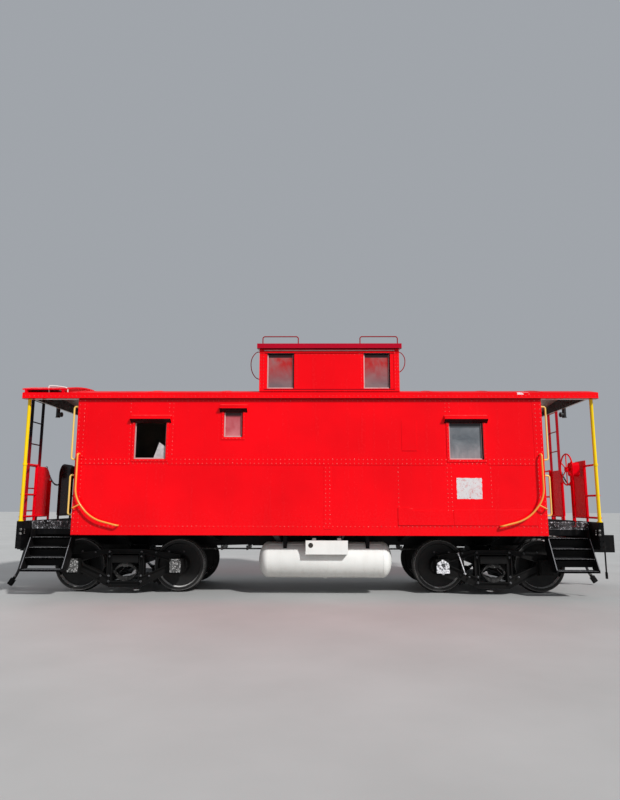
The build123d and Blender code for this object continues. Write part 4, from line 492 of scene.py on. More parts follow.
materials = {
    "body": body_paint("body_red", RED),
    # Rivets and the hoods' beads: the pale pink specks given as dust are a painted highlight
    "rivet": painted(
        "rivet_red_highlight", (0.95, 0.035, 0.035), dust=(0.9, 0.3, 0.28), rough=(0.2, 0.35), speck_share=0.5,
        streaks=0.1, waves=0.0009, sheen=0.5,
    ),
    "fittings": fittings_material("fittings_red"),
    "steps": step_material("step_black"),
    "dark_red": painted(
        "shaded_red", (0.30, 0.001, 0.006), dust=(0.06, 0.01, 0.01), rough=(0.25, 0.5), streaks=0.1,
        coat=0.0, sheen=0.08,
    ),
    "ladder": ladder_material("ladder_red"),
    "roof": body_paint("roof_maroon", (0.46, 0.001, 0.018)),
    # Expanded metal of the platform guards: its bright specks are painted glints on the strands
    "mesh": worn_metal("mesh_steel", (0.002, 0.002, 0.002), (0.95, 0.95, 1.0), edge=0.53, scale=21.0),
    "black": painted(
        "frame_black", BLACK, dust=(0.026, 0.022, 0.019), rough=(0.28, 0.55), speck_share=0.4, streaks=0.2,
        chips=0.01, under=(0.07, 0.055, 0.045), low_dust=(0.3, 0.9, 0.25), coat=0.0, sheen=0.12,
    ),
    # Platform decks: their pale specks are painted glints on the grating
    "deck": worn_metal("deck_steel", BLACK, (0.20, 0.20, 0.20), edge=0.66, scale=60.0),
    # Tread nosings, tread gratings and truck nuts: worn steel, with its bright patches also painted
    # highlights and glints
    "nosing": worn_metal("nosing_steel", (0.02, 0.02, 0.021), (0.30, 0.30, 0.31), edge=0.50, scale=70.0),
    "truck": worn_metal("truck_cast", (0.0045, 0.0045, 0.0045), (0.026, 0.022, 0.018), edge=0.62, scale=9.0),
    # Journal lids: the bright patches are partly worn metal and partly painted glints on the ribs
    "lid": worn_metal("lid_cast", (0.012, 0.012, 0.012), (0.80, 0.79, 0.77), edge=0.52, scale=48.0),
    # Springs: the bright patches on the leaves are partly painted glints
    "spring": worn_metal("spring_steel", (0.006, 0.006, 0.006), (0.30, 0.29, 0.28), edge=0.58, scale=26.0),
    "yellow": painted(
        "post_yellow", (0.93, 0.63, 0.0), dust=(0.5, 0.32, 0.1), chips=0.015, under=(0.3, 0.1, 0.02)
    ),
    "orange": painted(
        "grab_orange", (0.93, 0.36, 0.06), dust=(0.6, 0.35, 0.2), chips=0.01, under=(0.5, 0.1, 0.02)
    ),
    "cream": painted(
        "grab_cream", (0.90, 0.60, 0.16), dust=(0.5, 0.38, 0.22), chips=0.02, under=(0.5, 0.15, 0.05)
    ),
    "white": painted(
        "tank_white", (0.84, 0.84, 0.80), dust=(0.36, 0.31, 0.25), rough=(0.22, 0.45), speck_share=0.10,
        streaks=0.14, chips=0.012, under=(0.22, 0.12, 0.07), low_dust=(0.28, 0.52, 0.35), waves=0.0054,
    ),
    "plate": painted(
        "plate_white", (0.72, 0.70, 0.70), dust=(0.62, 0.12, 0.12), rough=(0.4, 0.6), speck_share=0.85,
        streaks=0.12, chips=0.13, under=(0.55, 0.03, 0.04), waves=0.0036, coat=0.0,
    ),
    "chain": worn_metal("chain_steel", (0.020, 0.016, 0.014), (0.14, 0.11, 0.09), metallic=0.4, scale=40.0),
    # Bare steel; on the draw bolts and brake rigging its brightness stands as painted glints
    "steel": worn_metal(
        "bare_steel", (0.10, 0.095, 0.09), (0.42, 0.41, 0.40), metallic=0.5, scale=24.0, edge=0.5
    ),
    "lamp": painted("lamp_grey", (0.020, 0.020, 0.021), dust=(0.10, 0.09, 0.08), rough=(0.3, 0.5)),
    "silver": worn_metal(
        "bare_casting", (0.10, 0.10, 0.11), (0.92, 0.92, 0.94), rough=(0.25, 0.5), edge=0.42, scale=34.0
    ),
    "sash": painted(
        "sash_pale", (0.66, 0.40, 0.39), dust=(0.55, 0.04, 0.04), rough=(0.35, 0.55), speck_share=0.5,
        streaks=0.3, chips=0.03, under=(0.55, 0.02, 0.03), waves=0.0027, coat=0.0,
    ),
    "board": board_material("floor_wood"),
    "pane": pane_material("pane_milky"),
    "rubber": rubber_material("hose_rubber"),
    "shard": shard_material("shard_pale"),
}

# The finish that each node of the frame gets
node_finish = {
    "body": "side_wall_near side_wall_far end_wall_a end_wall_b main_roof cupola_side_near "
    "cupola_side_far cupola_ends window_frames",
    "roof": "cupola_roof",
    "fittings": "end_railing_a end_railing_b hand_brakes running_boards door_a door_b brake_wheels",
    "ladder": "ladders",
    "dark_red": "cupola_rails",
    "steps": "steps",
    "black": "underframe cross_bearers couplers knuckle_a knuckle_b brake_cylinder "
    "air_reservoir uncoupling_levers angle_cocks glad_hand_a glad_hand_b tank_hangers",
    "deck": "platform_decks",
    "truck": "truck_frame_a truck_frame_b truck_bolster_a truck_bolster_b brake_beams_a brake_beams_b",
    "spring": "truck_springs_a truck_springs_b",
    "yellow": "corner_posts",
    "orange": "side_handrails",
    "cream": "end_handrails",
    "white": "fuel_tank tank_cover tank_valve",
    "board": "floor",
    "pane": "window_glass door_glass_a door_glass_b",
    "lamp": "platform_lamps",
    "chain": "safety_chains",
    "rubber": "air_hose_a air_hose_b",
}
finished = {}
for finish, members in node_finish.items():
    finished.update(dict.fromkeys(members.split(), materials[finish]))
# Wheelsets: side of the car that the truck is on, side of the truck that the axle is on
for number, (truck_side, axle_side) in enumerate(((-1, -1), (-1, 1), (1, -1), (1, 1)), start=1):
    axle_x = truck_side * TRUCK_X + axle_side * HALF_WHEELBASE
    finished[f"wheelset_{number}"] = wheel_material(f"wheelset_{number}_steel", axle_x)
for node_name, node in nodes.items():
    node.data.materials.clear()
    node.data.materials.append(finished[node_name])


# Mesh building
def circle(count):
    """Cosine and sine of each of count equal turns."""
    return [(math.cos(math.tau * k / count), math.sin(math.tau * k / count)) for k in range(count)]


def ring(centre, right, up, radius, sides):
    """Points round a centre, in the plane of right and up."""
    return [centre + right * radius * c + up * radius * s for c, s in circle(sides)]


class Build:
    """Gathers vertices and faces of one piece, in the frame's own coordinates."""

    def __init__(self):
        self.points = []
        self.faces = []

    def add(self, points, faces):
        start = len(self.points)
        self.points.extend(Vector(point) for point in points)
        self.faces.extend(tuple(start + index for index in face) for face in faces)

    def box(self, low, high):
        x0, y0, z0 = map(min, low, high)
        x1, y1, z1 = map(max, low, high)
        points = [(x, y, z) for z in (z0, z1) for x, y in ((x0, y0), (x1, y0), (x1, y1), (x0, y1))]
        faces = [(3, 2, 1, 0), (4, 5, 6, 7)]
        faces += [(i, (i + 1) % 4, 4 + (i + 1) % 4, 4 + i) for i in range(4)]
        self.add(points, faces)

    def prism(self, outline, origin, right, up, depth):
        """Flat outline (pairs of right, up), pushed out by the depth vector."""
        count = len(outline)
        base = [Vector(origin) + Vector(right) * a + Vector(up) * b for a, b in outline]
        points = base + [point + Vector(depth) for point in base]
        faces = [tuple(reversed(range(count))), tuple(range(count, 2 * count))]
        faces += [(i, (i + 1) % count, count + (i + 1) % count, count + i) for i in range(count)]
        self.add(points, faces)

    def plate(self, outline, y, depth, x=0.0, z=0.0):
        """Outline seen from the side (pairs of x, z), pushed out across the car from y."""
        self.prism(outline, (x, y, z), (1, 0, 0), (0, 0, 1), (0, depth, 0))

    def rings(self, rings, closed=False):
        """Skin over rings of equal numbers of points, capped at the ends or closed to a loop."""
        count = len(rings[0])
        points = [point for loop in rings for point in loop]
        faces = []
        for row in range(len(rings) if closed else len(rings) - 1):
            after = (row + 1) % len(rings)
            for i in range(count):
                j = (i + 1) % count
                faces.append((row * count + i, row * count + j, after * count + j, after * count + i))
        if not closed:
            faces.append(tuple(reversed(range(count))))
            faces.append(tuple(range(len(points) - count, len(points))))
        self.add(points, faces)

    def turned(self, start, along, right, up, profile, sides):
        """Round body about the axis from start: profile holds pairs of distance and radius."""
        start, along, right, up = Vector(start), Vector(along), Vector(right), Vector(up)
        self.rings([ring(start + along * distance, right, up, radius, sides) for distance, radius in profile])

    def tube(self, path, radius, sides=10, closed=False):
        """Round bar through the points, with its frame carried along the path."""
        path = [Vector(point) for point in path]
        count = len(path)
        rings = []
        side = None
        for i, point in enumerate(path):
            if closed:
                along = path[(i + 1) % count] - path[i - 1]
            else:
                along = path[min(i + 1, count - 1)] - path[max(i - 1, 0)]
            along.normalize()
            if side is None:
                side = along.orthogonal().normalized()
            side = (side - along * side.dot(along)).normalized()
            rings.append(ring(point, side, along.cross(side), radius, sides))
        self.rings(rings, closed=closed)

    def disc(self, centre, normal, radius, height, sides=8, crown=0.7, levels=2):
        """Low round head that stands on a surface, such as a rivet or a cap."""
        normal = Vector(normal).normalized()
        side = normal.orthogonal().normalized()
        profile = []
        for level in range(levels + 1):
            turn_up = level / levels * math.pi / 2 * crown
            rise = height * math.sin(turn_up) / math.sin(math.pi / 2 * crown)
            profile.append((rise, radius * math.cos(turn_up)))
        self.turned(centre, normal, side, normal.cross(side), profile, sides)

    def nut(self, centre, normal, radius, height, shank):
        """Hexagon nut with the end of its bolt."""
        self.disc(centre, normal, radius, height, sides=6, crown=0.2, levels=1)
        top = Vector(centre) + Vector(normal).normalized() * height * 0.98
        self.disc(top, normal, radius * 0.5, shank, sides=8, crown=0.3, levels=1)

    def row(self, start, end, pitch, normal, radius=0.0095, height=0.006, skip=None):
        """Rivets from start to end, about a pitch apart, but not where skip says so."""
        start, end = Vector(start), Vector(end)
        count = max(1, round((end - start).length / pitch))
        for step in range(count + 1):
            place = start.lerp(end, step / count)
            if skip is None or not skip(place):
                self.disc(place, normal, radius, height, sides=8, levels=2, crown=0.75)

    def make(self, name, finish, body="root", bevel=0.0, smooth=None, replaces=()):
        mesh = bpy.data.meshes.new(name)
        mesh.from_pydata(self.points, [], self.faces)
        mesh.validate()
        work = bmesh.new()
        work.from_mesh(mesh)
        bmesh.ops.recalc_face_normals(work, faces=work.faces)
        work.to_mesh(mesh)
        work.free()
        piece = bpy.data.objects.new(name, mesh)
        scene.collection.objects.link(piece)
        mesh.materials.append(materials[finish])
        if smooth is not None:
            mesh.polygons.foreach_set("use_smooth", [True] * len(mesh.polygons))
            mesh.set_sharp_from_angle(angle=math.radians(smooth))
        if bevel > 0.0:
            rounding = piece.modifiers.new("rounding", "BEVEL")
            rounding.width = bevel
            rounding.segments = 2
            rounding.limit_method = "ANGLE"
            rounding.angle_limit = math.radians(40)
        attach(piece, body)
        if replaces:
            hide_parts(*replaces)
        return piece


def turned_end(point, side):
    """A point of end B, turned half round to end A where side is -1."""
    return (side * point[0], side * point[1], point[2])


def smooth_path(points, count=8):
    """Points on a soft curve through the given ones."""
    points = [Vector(point) for point in points]
    path = []
    padded = [points[0] * 2 - points[1], *points, points[-1] * 2 - points[-2]]
    for i in range(1, len(padded) - 2):
        p0, p1, p2, p3 = padded[i - 1 : i + 3]
        for step in range(count):
            t = step / count
            bend = (2 * p0 - 5 * p1 + 4 * p2 - p3) * t * t + (3 * p1 - p0 - 3 * p2 + p3) * t**3
            path.append(0.5 * (2 * p1 + (p2 - p0) * t + bend))
    path.append(points[-1])
    return path


# Air hoses: reach from the end sill's outer face, height
hose_points = (
    (0.280, 0.746), (0.316, 0.690), (0.343, 0.620), (0.364, 0.530),
    (0.385, 0.430), (0.410, 0.330), (0.440, 0.240), (0.480, 0.180),
)
HOSE_Y = 0.33
HOSE_RADIUS = 0.024
CLAMP_WIRE = 0.0035
for end, side in ENDS:
    route = [turned_end((SILL_X + reach, HOSE_Y, z), side) for reach, z in hose_points]
    curve = bpy.data.curves.new(f"brake_hose_{end}", "CURVE")
    curve.dimensions = "3D"
    spline = curve.splines.new("NURBS")
    spline.points.add(len(route) - 1)
    for control, point in zip(spline.points, route):
        control.co = (*point, 1.0)
    spline.order_u = 3
    spline.use_endpoint_u = True
    spline.resolution_u = 10
    hose = bpy.data.objects.new(f"brake_hose_{end}", curve)
    scene.collection.objects.link(hose)
    line = bpy.data.meshes.new_from_object(hose)
    path = [vertex.co.copy() for vertex in line.vertices]
    if (path[0] - Vector(route[0])).length > (path[-1] - Vector(route[0])).length:
        path.reverse()
    curve.bevel_depth = HOSE_RADIUS
    curve.bevel_resolution = 4
    curve.use_fill_caps = True
    curve.materials.append(materials["rubber"])
    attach(hose, "root")
    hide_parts(f"air_hose_{end}")
    clamps = Build()
    for first in (2, len(path) - 4):
        band = path[first : first + 3]
        clamps.tube(band, HOSE_RADIUS + CLAMP_WIRE, sides=20)
        clamps.nut(band[1] + Vector((0, HOSE_RADIUS + 0.002, 0)), (0, 1, 0), 0.009, 0.012, 0.006)
    clamp = clamps.make(f"hose_clamps_{end}", "steel", smooth=35)

# Straps over the seams of the side walls, and the walls' rivets
BELT_LOW, BELT_HIGH = 2.074, 2.189
BELT_ROWS = (2.099, 2.164)
BELT_LIFT = 0.0035
STRAP_LIFT = 0.003
MIDDLE_X, MIDDLE_HALF = 0.304, 0.06
CORNER_X = 3.715
FRAME_EDGE, FRAME_LIFT, FRAME_PITCH = 0.024, 0.010, 0.06
# How far from a window's opening no wall rivets are set: beside its frame, its hood, over its head
FRAME_CLEAR, HOOD_CLEAR, HOOD_CLEAR_Z = 0.055, 0.095, 0.125
STRAP_END = 0.004
CORNER_COLUMNS = (-3.765, -3.685, 3.685, 3.765)
# Rivet heads: radius, height
SMALL_HEADS, CUPOLA_HEADS = (0.007, 0.004), (0.0075, 0.0045)
PITCH = 0.07
# Upright rows of rivets, ends in z: on the lower wall, on the corner straps below and above the belt
LOWER_ROW, CORNER_LOW_ROW, CORNER_HIGH_ROW = (1.15, 2.03), (1.02, 2.04), (2.22, 3.13)
# Long rows: reach along the car, height
BELT_REACH = 3.76
SILL_REACH, SILL_ROW = 3.62, 1.101
TOP_REACH, TOP_ROW = 3.6, 3.125
EAVES_REACH, EAVES_ROW = 4.66, 3.196
# Columns of rivets: x, low z, high z
wall_columns = (
    (-2.287, 2.95, 3.08),
    (-2.220, 2.25, 3.08),
    (2.226, 2.95, 3.08),
    (2.292, 2.95, 3.08),
    (2.226, 1.15, 2.03),
    (2.292, 1.15, 2.03),
    (2.925, 1.42, 2.03),
    (1.440, 1.42, 2.03),
    (-2.920, 2.25, 3.08),
)


def side_wall(side_name, side):
    """Straps and rivets of one side wall."""
    face_y = side * WALL_Y
    normal = (0, side, 0)
    openings = SIDE_WINDOWS[side]
    straps = Build()
    rivets = Build()

    def strap(x0, x1, z0, z1, lift=STRAP_LIFT):
        straps.box((x0, face_y - side * SINK, z0), (x1, face_y + side * lift, z1))

    def on_window(place):
        """Whether a rivet's place is taken by a window's frame or hood."""
        for low_x, high_x, low_z, high_z in openings:
            reach_x = max(low_x - place.x, place.x - high_x)
            reach_z = max(low_z - place.z, place.z - high_z)
            if reach_x < FRAME_CLEAR and reach_z < FRAME_CLEAR:
                return True
            if reach_x < HOOD_CLEAR and high_z < place.z < high_z + HOOD_CLEAR_Z:
                return True
        return False

    def wall_row(x0, z0, x1, z1, lift=0.0, pitch=PITCH, **head):
        y = face_y + side * lift
        rivets.row((x0, y, z0), (x1, y, z1), pitch, normal, skip=on_window, **head)

    edges = [STRAP_END - BODY_X]
    for low_x, high_x, low_z, _ in openings:
        if low_z < BELT_HIGH:
            edges += [low_x - 0.05, high_x + 0.05]
    edges.append(BODY_X - STRAP_END)
    for low_x, high_x in zip(edges[::2], edges[1::2]):
        strap(low_x, high_x, BELT_LOW, BELT_HIGH, BELT_LIFT)
    for x in (-CORNER_X, CORNER_X):
        strap(x - 0.074, x + 0.075, WALL_LOW + STRAP_END, BELT_LOW - SINK)
        strap(x - 0.074, x + 0.075, BELT_HIGH + SINK, WALL_TOP - SINK)
    strap(MIDDLE_X - MIDDLE_HALF, MIDDLE_X + MIDDLE_HALF, 1.055, BELT_LOW - SINK)
    straps.make(f"seam_straps_{side_name}", "body", bevel=0.0015)

    for z in BELT_ROWS:
        wall_row(-BELT_REACH, z, BELT_REACH, z, BELT_LIFT)
    wall_row(-SILL_REACH, SILL_ROW, SILL_REACH, SILL_ROW)
    wall_row(-TOP_REACH, TOP_ROW, TOP_REACH, TOP_ROW, pitch=0.085, radius=0.008, height=0.004)
    for x, low_z, high_z in wall_columns:
        wall_row(x, low_z, x, high_z)
    for x in (MIDDLE_X - 0.033, MIDDLE_X + 0.033):
        wall_row(x, LOWER_ROW[0], x, LOWER_ROW[1], STRAP_LIFT)
    for x in CORNER_COLUMNS:
        for low_z, high_z in (CORNER_LOW_ROW, CORNER_HIGH_ROW):
            wall_row(x, low_z, x, high_z, STRAP_LIFT)
    for low_x, high_x, low_z, high_z in openings:
        x0, x1, z0, z1 = low_x - FRAME_EDGE, high_x + FRAME_EDGE, low_z - FRAME_EDGE, high_z + FRAME_EDGE
        y = face_y + side * FRAME_LIFT
        rivets.row((x0, y, z0), (x1, y, z0), FRAME_PITCH, normal, *SMALL_HEADS)
        for x in (x0, x1):
            start, end = (x, y, z0 + FRAME_PITCH), (x, y, z1 - FRAME_PITCH)
            rivets.row(start, end, FRAME_PITCH, normal, *SMALL_HEADS)
    # Eaves band
    eaves_y = side * ROOF_Y
    start, end = (-EAVES_REACH, eaves_y, EAVES_ROW), (EAVES_REACH, eaves_y, EAVES_ROW)
    rivets.row(start, end, PITCH, normal, radius=0.0085)
    rivets.make(f"rivets_side_{side_name}", "rivet", smooth=60)


for side_name, side in SIDES:
    side_wall(side_name, side)

# Drip moulding under the eaves, gutters at the roof's edge
MOULDING_X, MOULDING_LIFT, MOULDING_LOW, MOULDING_HIGH = BODY_X - 0.01, 0.012, 3.138, 3.155
GUTTER_X, GUTTER_LIFT, GUTTER_LOW, GUTTER_HIGH = 4.71, 0.008, 3.1575, 3.170
trim = Build()
for _, side in SIDES:
    back_y, front_y = side * (WALL_Y - SINK), side * (WALL_Y + MOULDING_LIFT)
    trim.box((-MOULDING_X, back_y, MOULDING_LOW), (MOULDING_X, front_y, MOULDING_HIGH))
    back_y, front_y = side * (ROOF_Y - 2 * SINK), side * (ROOF_Y + GUTTER_LIFT)
    trim.box((-GUTTER_X, back_y, GUTTER_LOW), (GUTTER_X, front_y, GUTTER_HIGH))
trim.make("eaves_moulding", "body", bevel=0.003)

# Repair plates welded over the near side, the first with a rounded step in its upper edge
PATCH_LOW, PATCH_BACK = 1.119, SINK - WALL_Y
CURVE_X, CURVE_Z, CURVE_REACH, CURVE_RISE = 1.52, 1.371, 0.14, 0.03
patches = Build()
outline = [(1.425, PATCH_LOW), (2.30, PATCH_LOW), (2.30, 1.352), (1.66, 1.356)]
for angle in range(20, 91, 10):
    turn = math.radians(angle)
    outline.append((CURVE_X + CURVE_REACH * math.cos(turn), CURVE_Z + CURVE_RISE * math.sin(turn)))
outline.append((1.425, 1.401))
patches.plate(outline, PATCH_BACK, -0.013)
patches.box((2.31, PATCH_BACK, PATCH_LOW), (3.638, -WALL_Y - 0.008, CURVE_Z))
patches.box((1.505, PATCH_BACK, 2.303), (1.752, -WALL_Y - 0.0045, 2.809))
patches.make("repair_plates", "body", bevel=0.003)

# Blank plate with a worn, ragged edge
PLATE_CORNERS = ((2.373, 1.539), (2.775, 1.539), (2.775, 1.871), (2.373, 1.871))
PLATE_STEPS = 14
RAGGED = 0.004
random.seed(11)
blank = Build()
worn = []
for (x0, z0), (x1, z1) in zip(PLATE_CORNERS, PLATE_CORNERS[1:] + PLATE_CORNERS[:1]):
    for step in range(PLATE_STEPS):
        share = step / PLATE_STEPS
        x = x0 + (x1 - x0) * share + random.uniform(-RAGGED, RAGGED)
        z = z0 + (z1 - z0) * share + random.uniform(-RAGGED, RAGGED)
        worn.append((x, z))
blank.plate(worn, 0.001 - WALL_Y, -0.0022)
blank.make("blank_plate", "plate")

# Shards still held in the broken window
SHARD_Y = -1.4045
shards = Build()
for outline in (
    [(-2.324, 2.170), (-2.324, 2.362), (-2.383, 2.404), (-2.443, 2.447), (-2.476, 2.350), (-2.537, 2.170)],
    [(-2.838, 2.170), (-2.800, 2.170), (-2.826, 2.184), (-2.838, 2.215)],
):
    shards.plate(outline, SHARD_Y, -0.002)
shards.make("broken_pane", "shard")

# Inner sashes of the side and cupola windows: pale, but black at the head and on the right as painted shade
SASH_IN, SASH_OUT = 1.404, 1.424
SASH_BAR = 0.022
SASH_LINE = 0.007
NARROW_JAMB, WIDE_JAMB = 0.012, 0.018
sashes = Build()
shaded = Build()
for _, side in SIDES:
    inner, outer = side * SASH_IN, side * SASH_OUT
    for low_x, high_x, low_z, high_z in SIDE_WINDOWS[side] + CUPOLA_WINDOWS:
        jamb = NARROW_JAMB if low_x == LEFT_WINDOW[0] else WIDE_JAMB
        right_x, head_z = high_x - jamb, high_z - SASH_BAR
        sashes.box((low_x, inner, low_z), (low_x + jamb, outer, head_z))
        shaded.box((right_x, inner, low_z), (high_x, outer, high_z))
        sashes.box((right_x - SASH_LINE, inner, low_z), (right_x, outer - side * 0.006, head_z))
        sashes.box((low_x + jamb, inner, low_z), (right_x, outer, low_z + SASH_BAR))
        shaded.box((low_x, inner, head_z), (right_x, outer, high_z))
sashes.make("window_sashes", "sash", bevel=0.003)
shaded.make("sash_heads", "black", bevel=0.003)

# Sloping tops of the window hoods, with a pale bead where they meet the wall, a painted highlight of the
# hood's top edge
HOOD_REACH, HOOD_OVERHANG = 0.080, 0.074
# Over the window's head: the lip; over the lip: its top, the slope's top, the pale bead of painted highlight
HOOD_LIP, LIP_TOP, SLOPE_TOP, BEAD_BOTTOM, BEAD_TOP = 0.0455, 0.008, 0.055, 0.053, 0.062
hood_tops = Build()
hood_edge_highlights = Build()
for _, side in SIDES:
    for low_x, high_x, _, high_z in SIDE_WINDOWS[side]:
        lip_z = high_z + HOOD_LIP
        x0, x1 = low_x - HOOD_OVERHANG + 0.002, high_x + HOOD_OVERHANG - 0.002
        back_y, front_y = side * (WALL_Y - SINK), side * (WALL_Y + HOOD_REACH - 0.002)
        outline = [
            (back_y, lip_z - 0.004),
            (front_y, lip_z - 0.004),
            (front_y, lip_z + LIP_TOP),
            (side * (WALL_Y + 0.004), lip_z + SLOPE_TOP),
            (back_y, lip_z + SLOPE_TOP),
        ]
        hood_tops.prism(outline, (x0, 0, 0), (0, 1, 0), (0, 0, 1), (x1 - x0, 0, 0))
        bead_y = side * (WALL_Y + 0.010)
        hood_edge_highlights.box((x0, back_y, lip_z + BEAD_BOTTOM), (x1, bead_y, lip_z + BEAD_TOP))
hood_tops.make("hood_tops", "body", bevel=0.002)
hood_edge_highlights.make("hood_edge_highlights", "rivet", bevel=0.002)

# Cupola: mouldings above and below the windows, the upper one pale as a painted highlight and the lower one
# dark red as painted shade; rivets of the corner strips and panel joints
CUPOLA_LOW_X, CUPOLA_HIGH_X = -0.742, 1.417
BEAD_LOW, BEAD_HIGH, BEAD_LIFT = 3.966, 3.980, 0.020
CUPOLA_SILL_LOW, CUPOLA_SILL_HIGH, CUPOLA_SILL_LIFT = 3.290, 3.322, 0.014
STRIP_COLUMNS = (-0.798, -0.752, 1.427, 1.473)
JOINT_COLUMNS = (-0.205, 0.868)
HEAD_ROW = 3.905
# End walls of the cupola: face and the side it looks to
CUPOLA_ENDS = ((-0.820, -1), (1.495, 1))
beads = Build()
shaded_sills = Build()
cupola_rivets = Build()
for _, side in SIDES:
    back_y = side * (WALL_Y - SINK)
    bead_y, sill_y = side * (WALL_Y + BEAD_LIFT), side * (WALL_Y + CUPOLA_SILL_LIFT)
    beads.box((CUPOLA_LOW_X, back_y, BEAD_LOW), (CUPOLA_HIGH_X, bead_y, BEAD_HIGH))
    shaded_sills.box((CUPOLA_LOW_X, back_y, CUPOLA_SILL_LOW), (CUPOLA_HIGH_X, sill_y, CUPOLA_SILL_HIGH))
    face_y = side * WALL_Y
    strip_y = face_y + side * 0.007
    normal = (0, side, 0)
    for x in STRIP_COLUMNS:
        cupola_rivets.row((x, strip_y, 3.30), (x, strip_y, BEAD_HIGH), 0.055, normal, *CUPOLA_HEADS)
    for x in JOINT_COLUMNS:
        cupola_rivets.row((x, face_y, 3.34), (x, face_y, 3.91), 0.06, normal, *SMALL_HEADS)
    cupola_rivets.row((-0.16, face_y, HEAD_ROW), (0.83, face_y, HEAD_ROW), PITCH, normal, *SMALL_HEADS)
for x, side in CUPOLA_ENDS:
    normal = (side, 0, 0)
    for y in (-1.32, -1.0, 1.0, 1.32):
        cupola_rivets.row((x, y, 3.47), (x, y, BEAD_HIGH), 0.06, normal, *CUPOLA_HEADS)
    for z in (3.50, 3.985):
        cupola_rivets.row((x, -1.28, z), (x, 1.28, z), 0.08, normal, *CUPOLA_HEADS)
beads.make("cupola_beads", "sash", bevel=0.003)
shaded_sills.make("cupola_sills", "dark_red", bevel=0.003)
cupola_rivets.make("rivets_cupola", "rivet", smooth=60)

# Rivets of the end walls: from y, z, to y, z
end_rows = [(y, 1.20, y, 3.12) for y in (-1.40, -1.33, 1.33, 1.40)]
end_rows += [(y, 1.18, y, 3.10) for y in (-0.44, 0.44)]
end_rows += [(-1.28, 1.17, -0.50, 1.17), (0.50, 1.17, 1.28, 1.17)]
end_rows += [(-0.38, 3.10, 0.38, 3.10), (-1.28, 2.12, -0.50, 2.12)]
end_rivets = Build()
for _, side in ENDS:
    face_x = side * BODY_X
    for y0, z0, y1, z1 in end_rows:
        end_rivets.row((face_x, y0, z0), (face_x, y1, z1), 0.08, (side, 0, 0))
end_rivets.make("rivets_ends", "rivet", smooth=60)

# Roof: cross battens over the seams, following the crown
ROOF_TOP, ROOF_RISE = 3.456, 0.2
ROOF_RADIUS = (ROOF_Y**2 + ROOF_RISE**2) / (2 * ROOF_RISE)
BATTEN_PLACES = (-3.8, -2.6, -1.4, 2.0, 2.95, 3.8)
BATTEN_HALF, BATTEN_STEPS = 1.47, 24
BATTEN_RIVETS, RIVET_HALF, RIVET_X = 30, 1.42, 0.055
batten_section = ((-0.03, -0.006), (0.03, -0.006), (0.022, 0.009), (-0.022, 0.009))


def roof_z(y):
    """Height of the roof's skin at a distance from the centre line."""
    return ROOF_TOP - ROOF_RADIUS + math.sqrt(ROOF_RADIUS**2 - y * y)


battens = Build()
for x in BATTEN_PLACES:
    rings = []
    for step in range(BATTEN_STEPS + 1):
        y = -BATTEN_HALF + 2 * BATTEN_HALF * step / BATTEN_STEPS
        rings.append([(x + dx, y, roof_z(y) + dz) for dx, dz in batten_section])
    battens.rings(rings)
    for step in range(BATTEN_RIVETS):
        y = -RIVET_HALF + 2 * RIVET_HALF * step / (BATTEN_RIVETS - 1)
        for dx in (-RIVET_X, RIVET_X):
            battens.disc((x + dx, y, roof_z(y) - 0.001), UP, 0.008, 0.006)
battens.make("roof_battens", "body", smooth=40)

# Bow rails at the ends of the cupola: x, z
left_bow = (
    (-0.815, 4.045), (-0.905, 4.055), (-0.985, 3.965), (-1.010, 3.84), (-0.985, 3.70), (-0.915, 3.60),
    (-0.815, 3.565),
)
right_bow = (
    (1.490, 4.045), (1.575, 4.050), (1.640, 3.975), (1.655, 3.88), (1.630, 3.78), (1.570, 3.71),
    (1.490, 3.69),
)
bows = Build()
for y in (-1.0, 1.0):
    for bow in (left_bow, right_bow):
        bows.tube(smooth_path([(x, y, z) for x, z in bow]), 0.0075, sides=8)
bows.make("cupola_bow_rails", "dark_red", smooth=60)

# Grab rails on the canopies' roofs: x, lift over the roof
GRAB_Y = 1.44
grab_points = ((4.30, 0.0), (4.31, 0.085), (4.27, 0.110), (4.05, 0.085), (4.00, 0.055), (3.99, 0.0))
grabs = Build()
for _, side in ENDS:
    bar = [turned_end((x, GRAB_Y, roof_z(GRAB_Y) + lift), side) for x, lift in grab_points]
    grabs.tube(smooth_path(bar), 0.009, sides=8)
grabs.make("canopy_grabs", "white", smooth=60)


# Platforms, steps and gratings
def lattice(build, origin, right, up, size, cell, bar, depth):
    """Expanded metal: crossing bars in diamond cells over a rectangle, with a rim."""
    width, height = size
    origin, right, up = Vector(origin), Vector(right), Vector(up)
    normal = right.cross(up).normalized() * depth
    columns = max(1, round(width / cell[0]))
    rows = max(1, round(height / cell[1]))
    step_right, step_up = width / columns, height / rows
    for column in range(columns):
        for row in range(rows):
            a0, b0 = column * step_right, row * step_up
            a1, b1 = a0 + step_right, b0 + step_up
            for start, end in (((a0, b0), (a1, b1)), ((a1, b0), (a0, b1))):
                along = Vector((end[0] - start[0], end[1] - start[1])).normalized()
                side = Vector((-along.y, along.x)) * bar / 2
                outline = [
                    (start[0] - side.x, start[1] - side.y),
                    (end[0] - side.x, end[1] - side.y),
                    (end[0] + side.x, end[1] + side.y),
                    (start[0] + side.x, start[1] + side.y),
                ]
                build.prism(outline, origin, right, up, normal)
    rim = bar * 1.6
    for low, high in (
        ((0, 0), (width, rim)),
        ((0, height - rim), (width, height)),
        ((0, 0), (rim, height)),
        ((width - rim, 0), (width, height)),
    ):
        outline = [low, (high[0], low[1]), high, (low[0], high[1])]
        build.prism(outline, origin - normal * 0.2, right, up, normal * 1.4)


GUARD_X, GUARD_Y, GUARD_Z = 3.80, 1.042, 1.046
GUARD_SIZE, GUARD_CELL, GUARD_BAR, GUARD_DEPTH = (0.80, 0.126), (0.042, 0.0315), 0.009, 0.007
TREAD_CELL, TREAD_BAR, TREAD_DEPTH = (0.05, 0.03), 0.006, 0.004
NOSING, NOSING_LOW, NOSING_RISE = 0.012, 0.024, 0.006
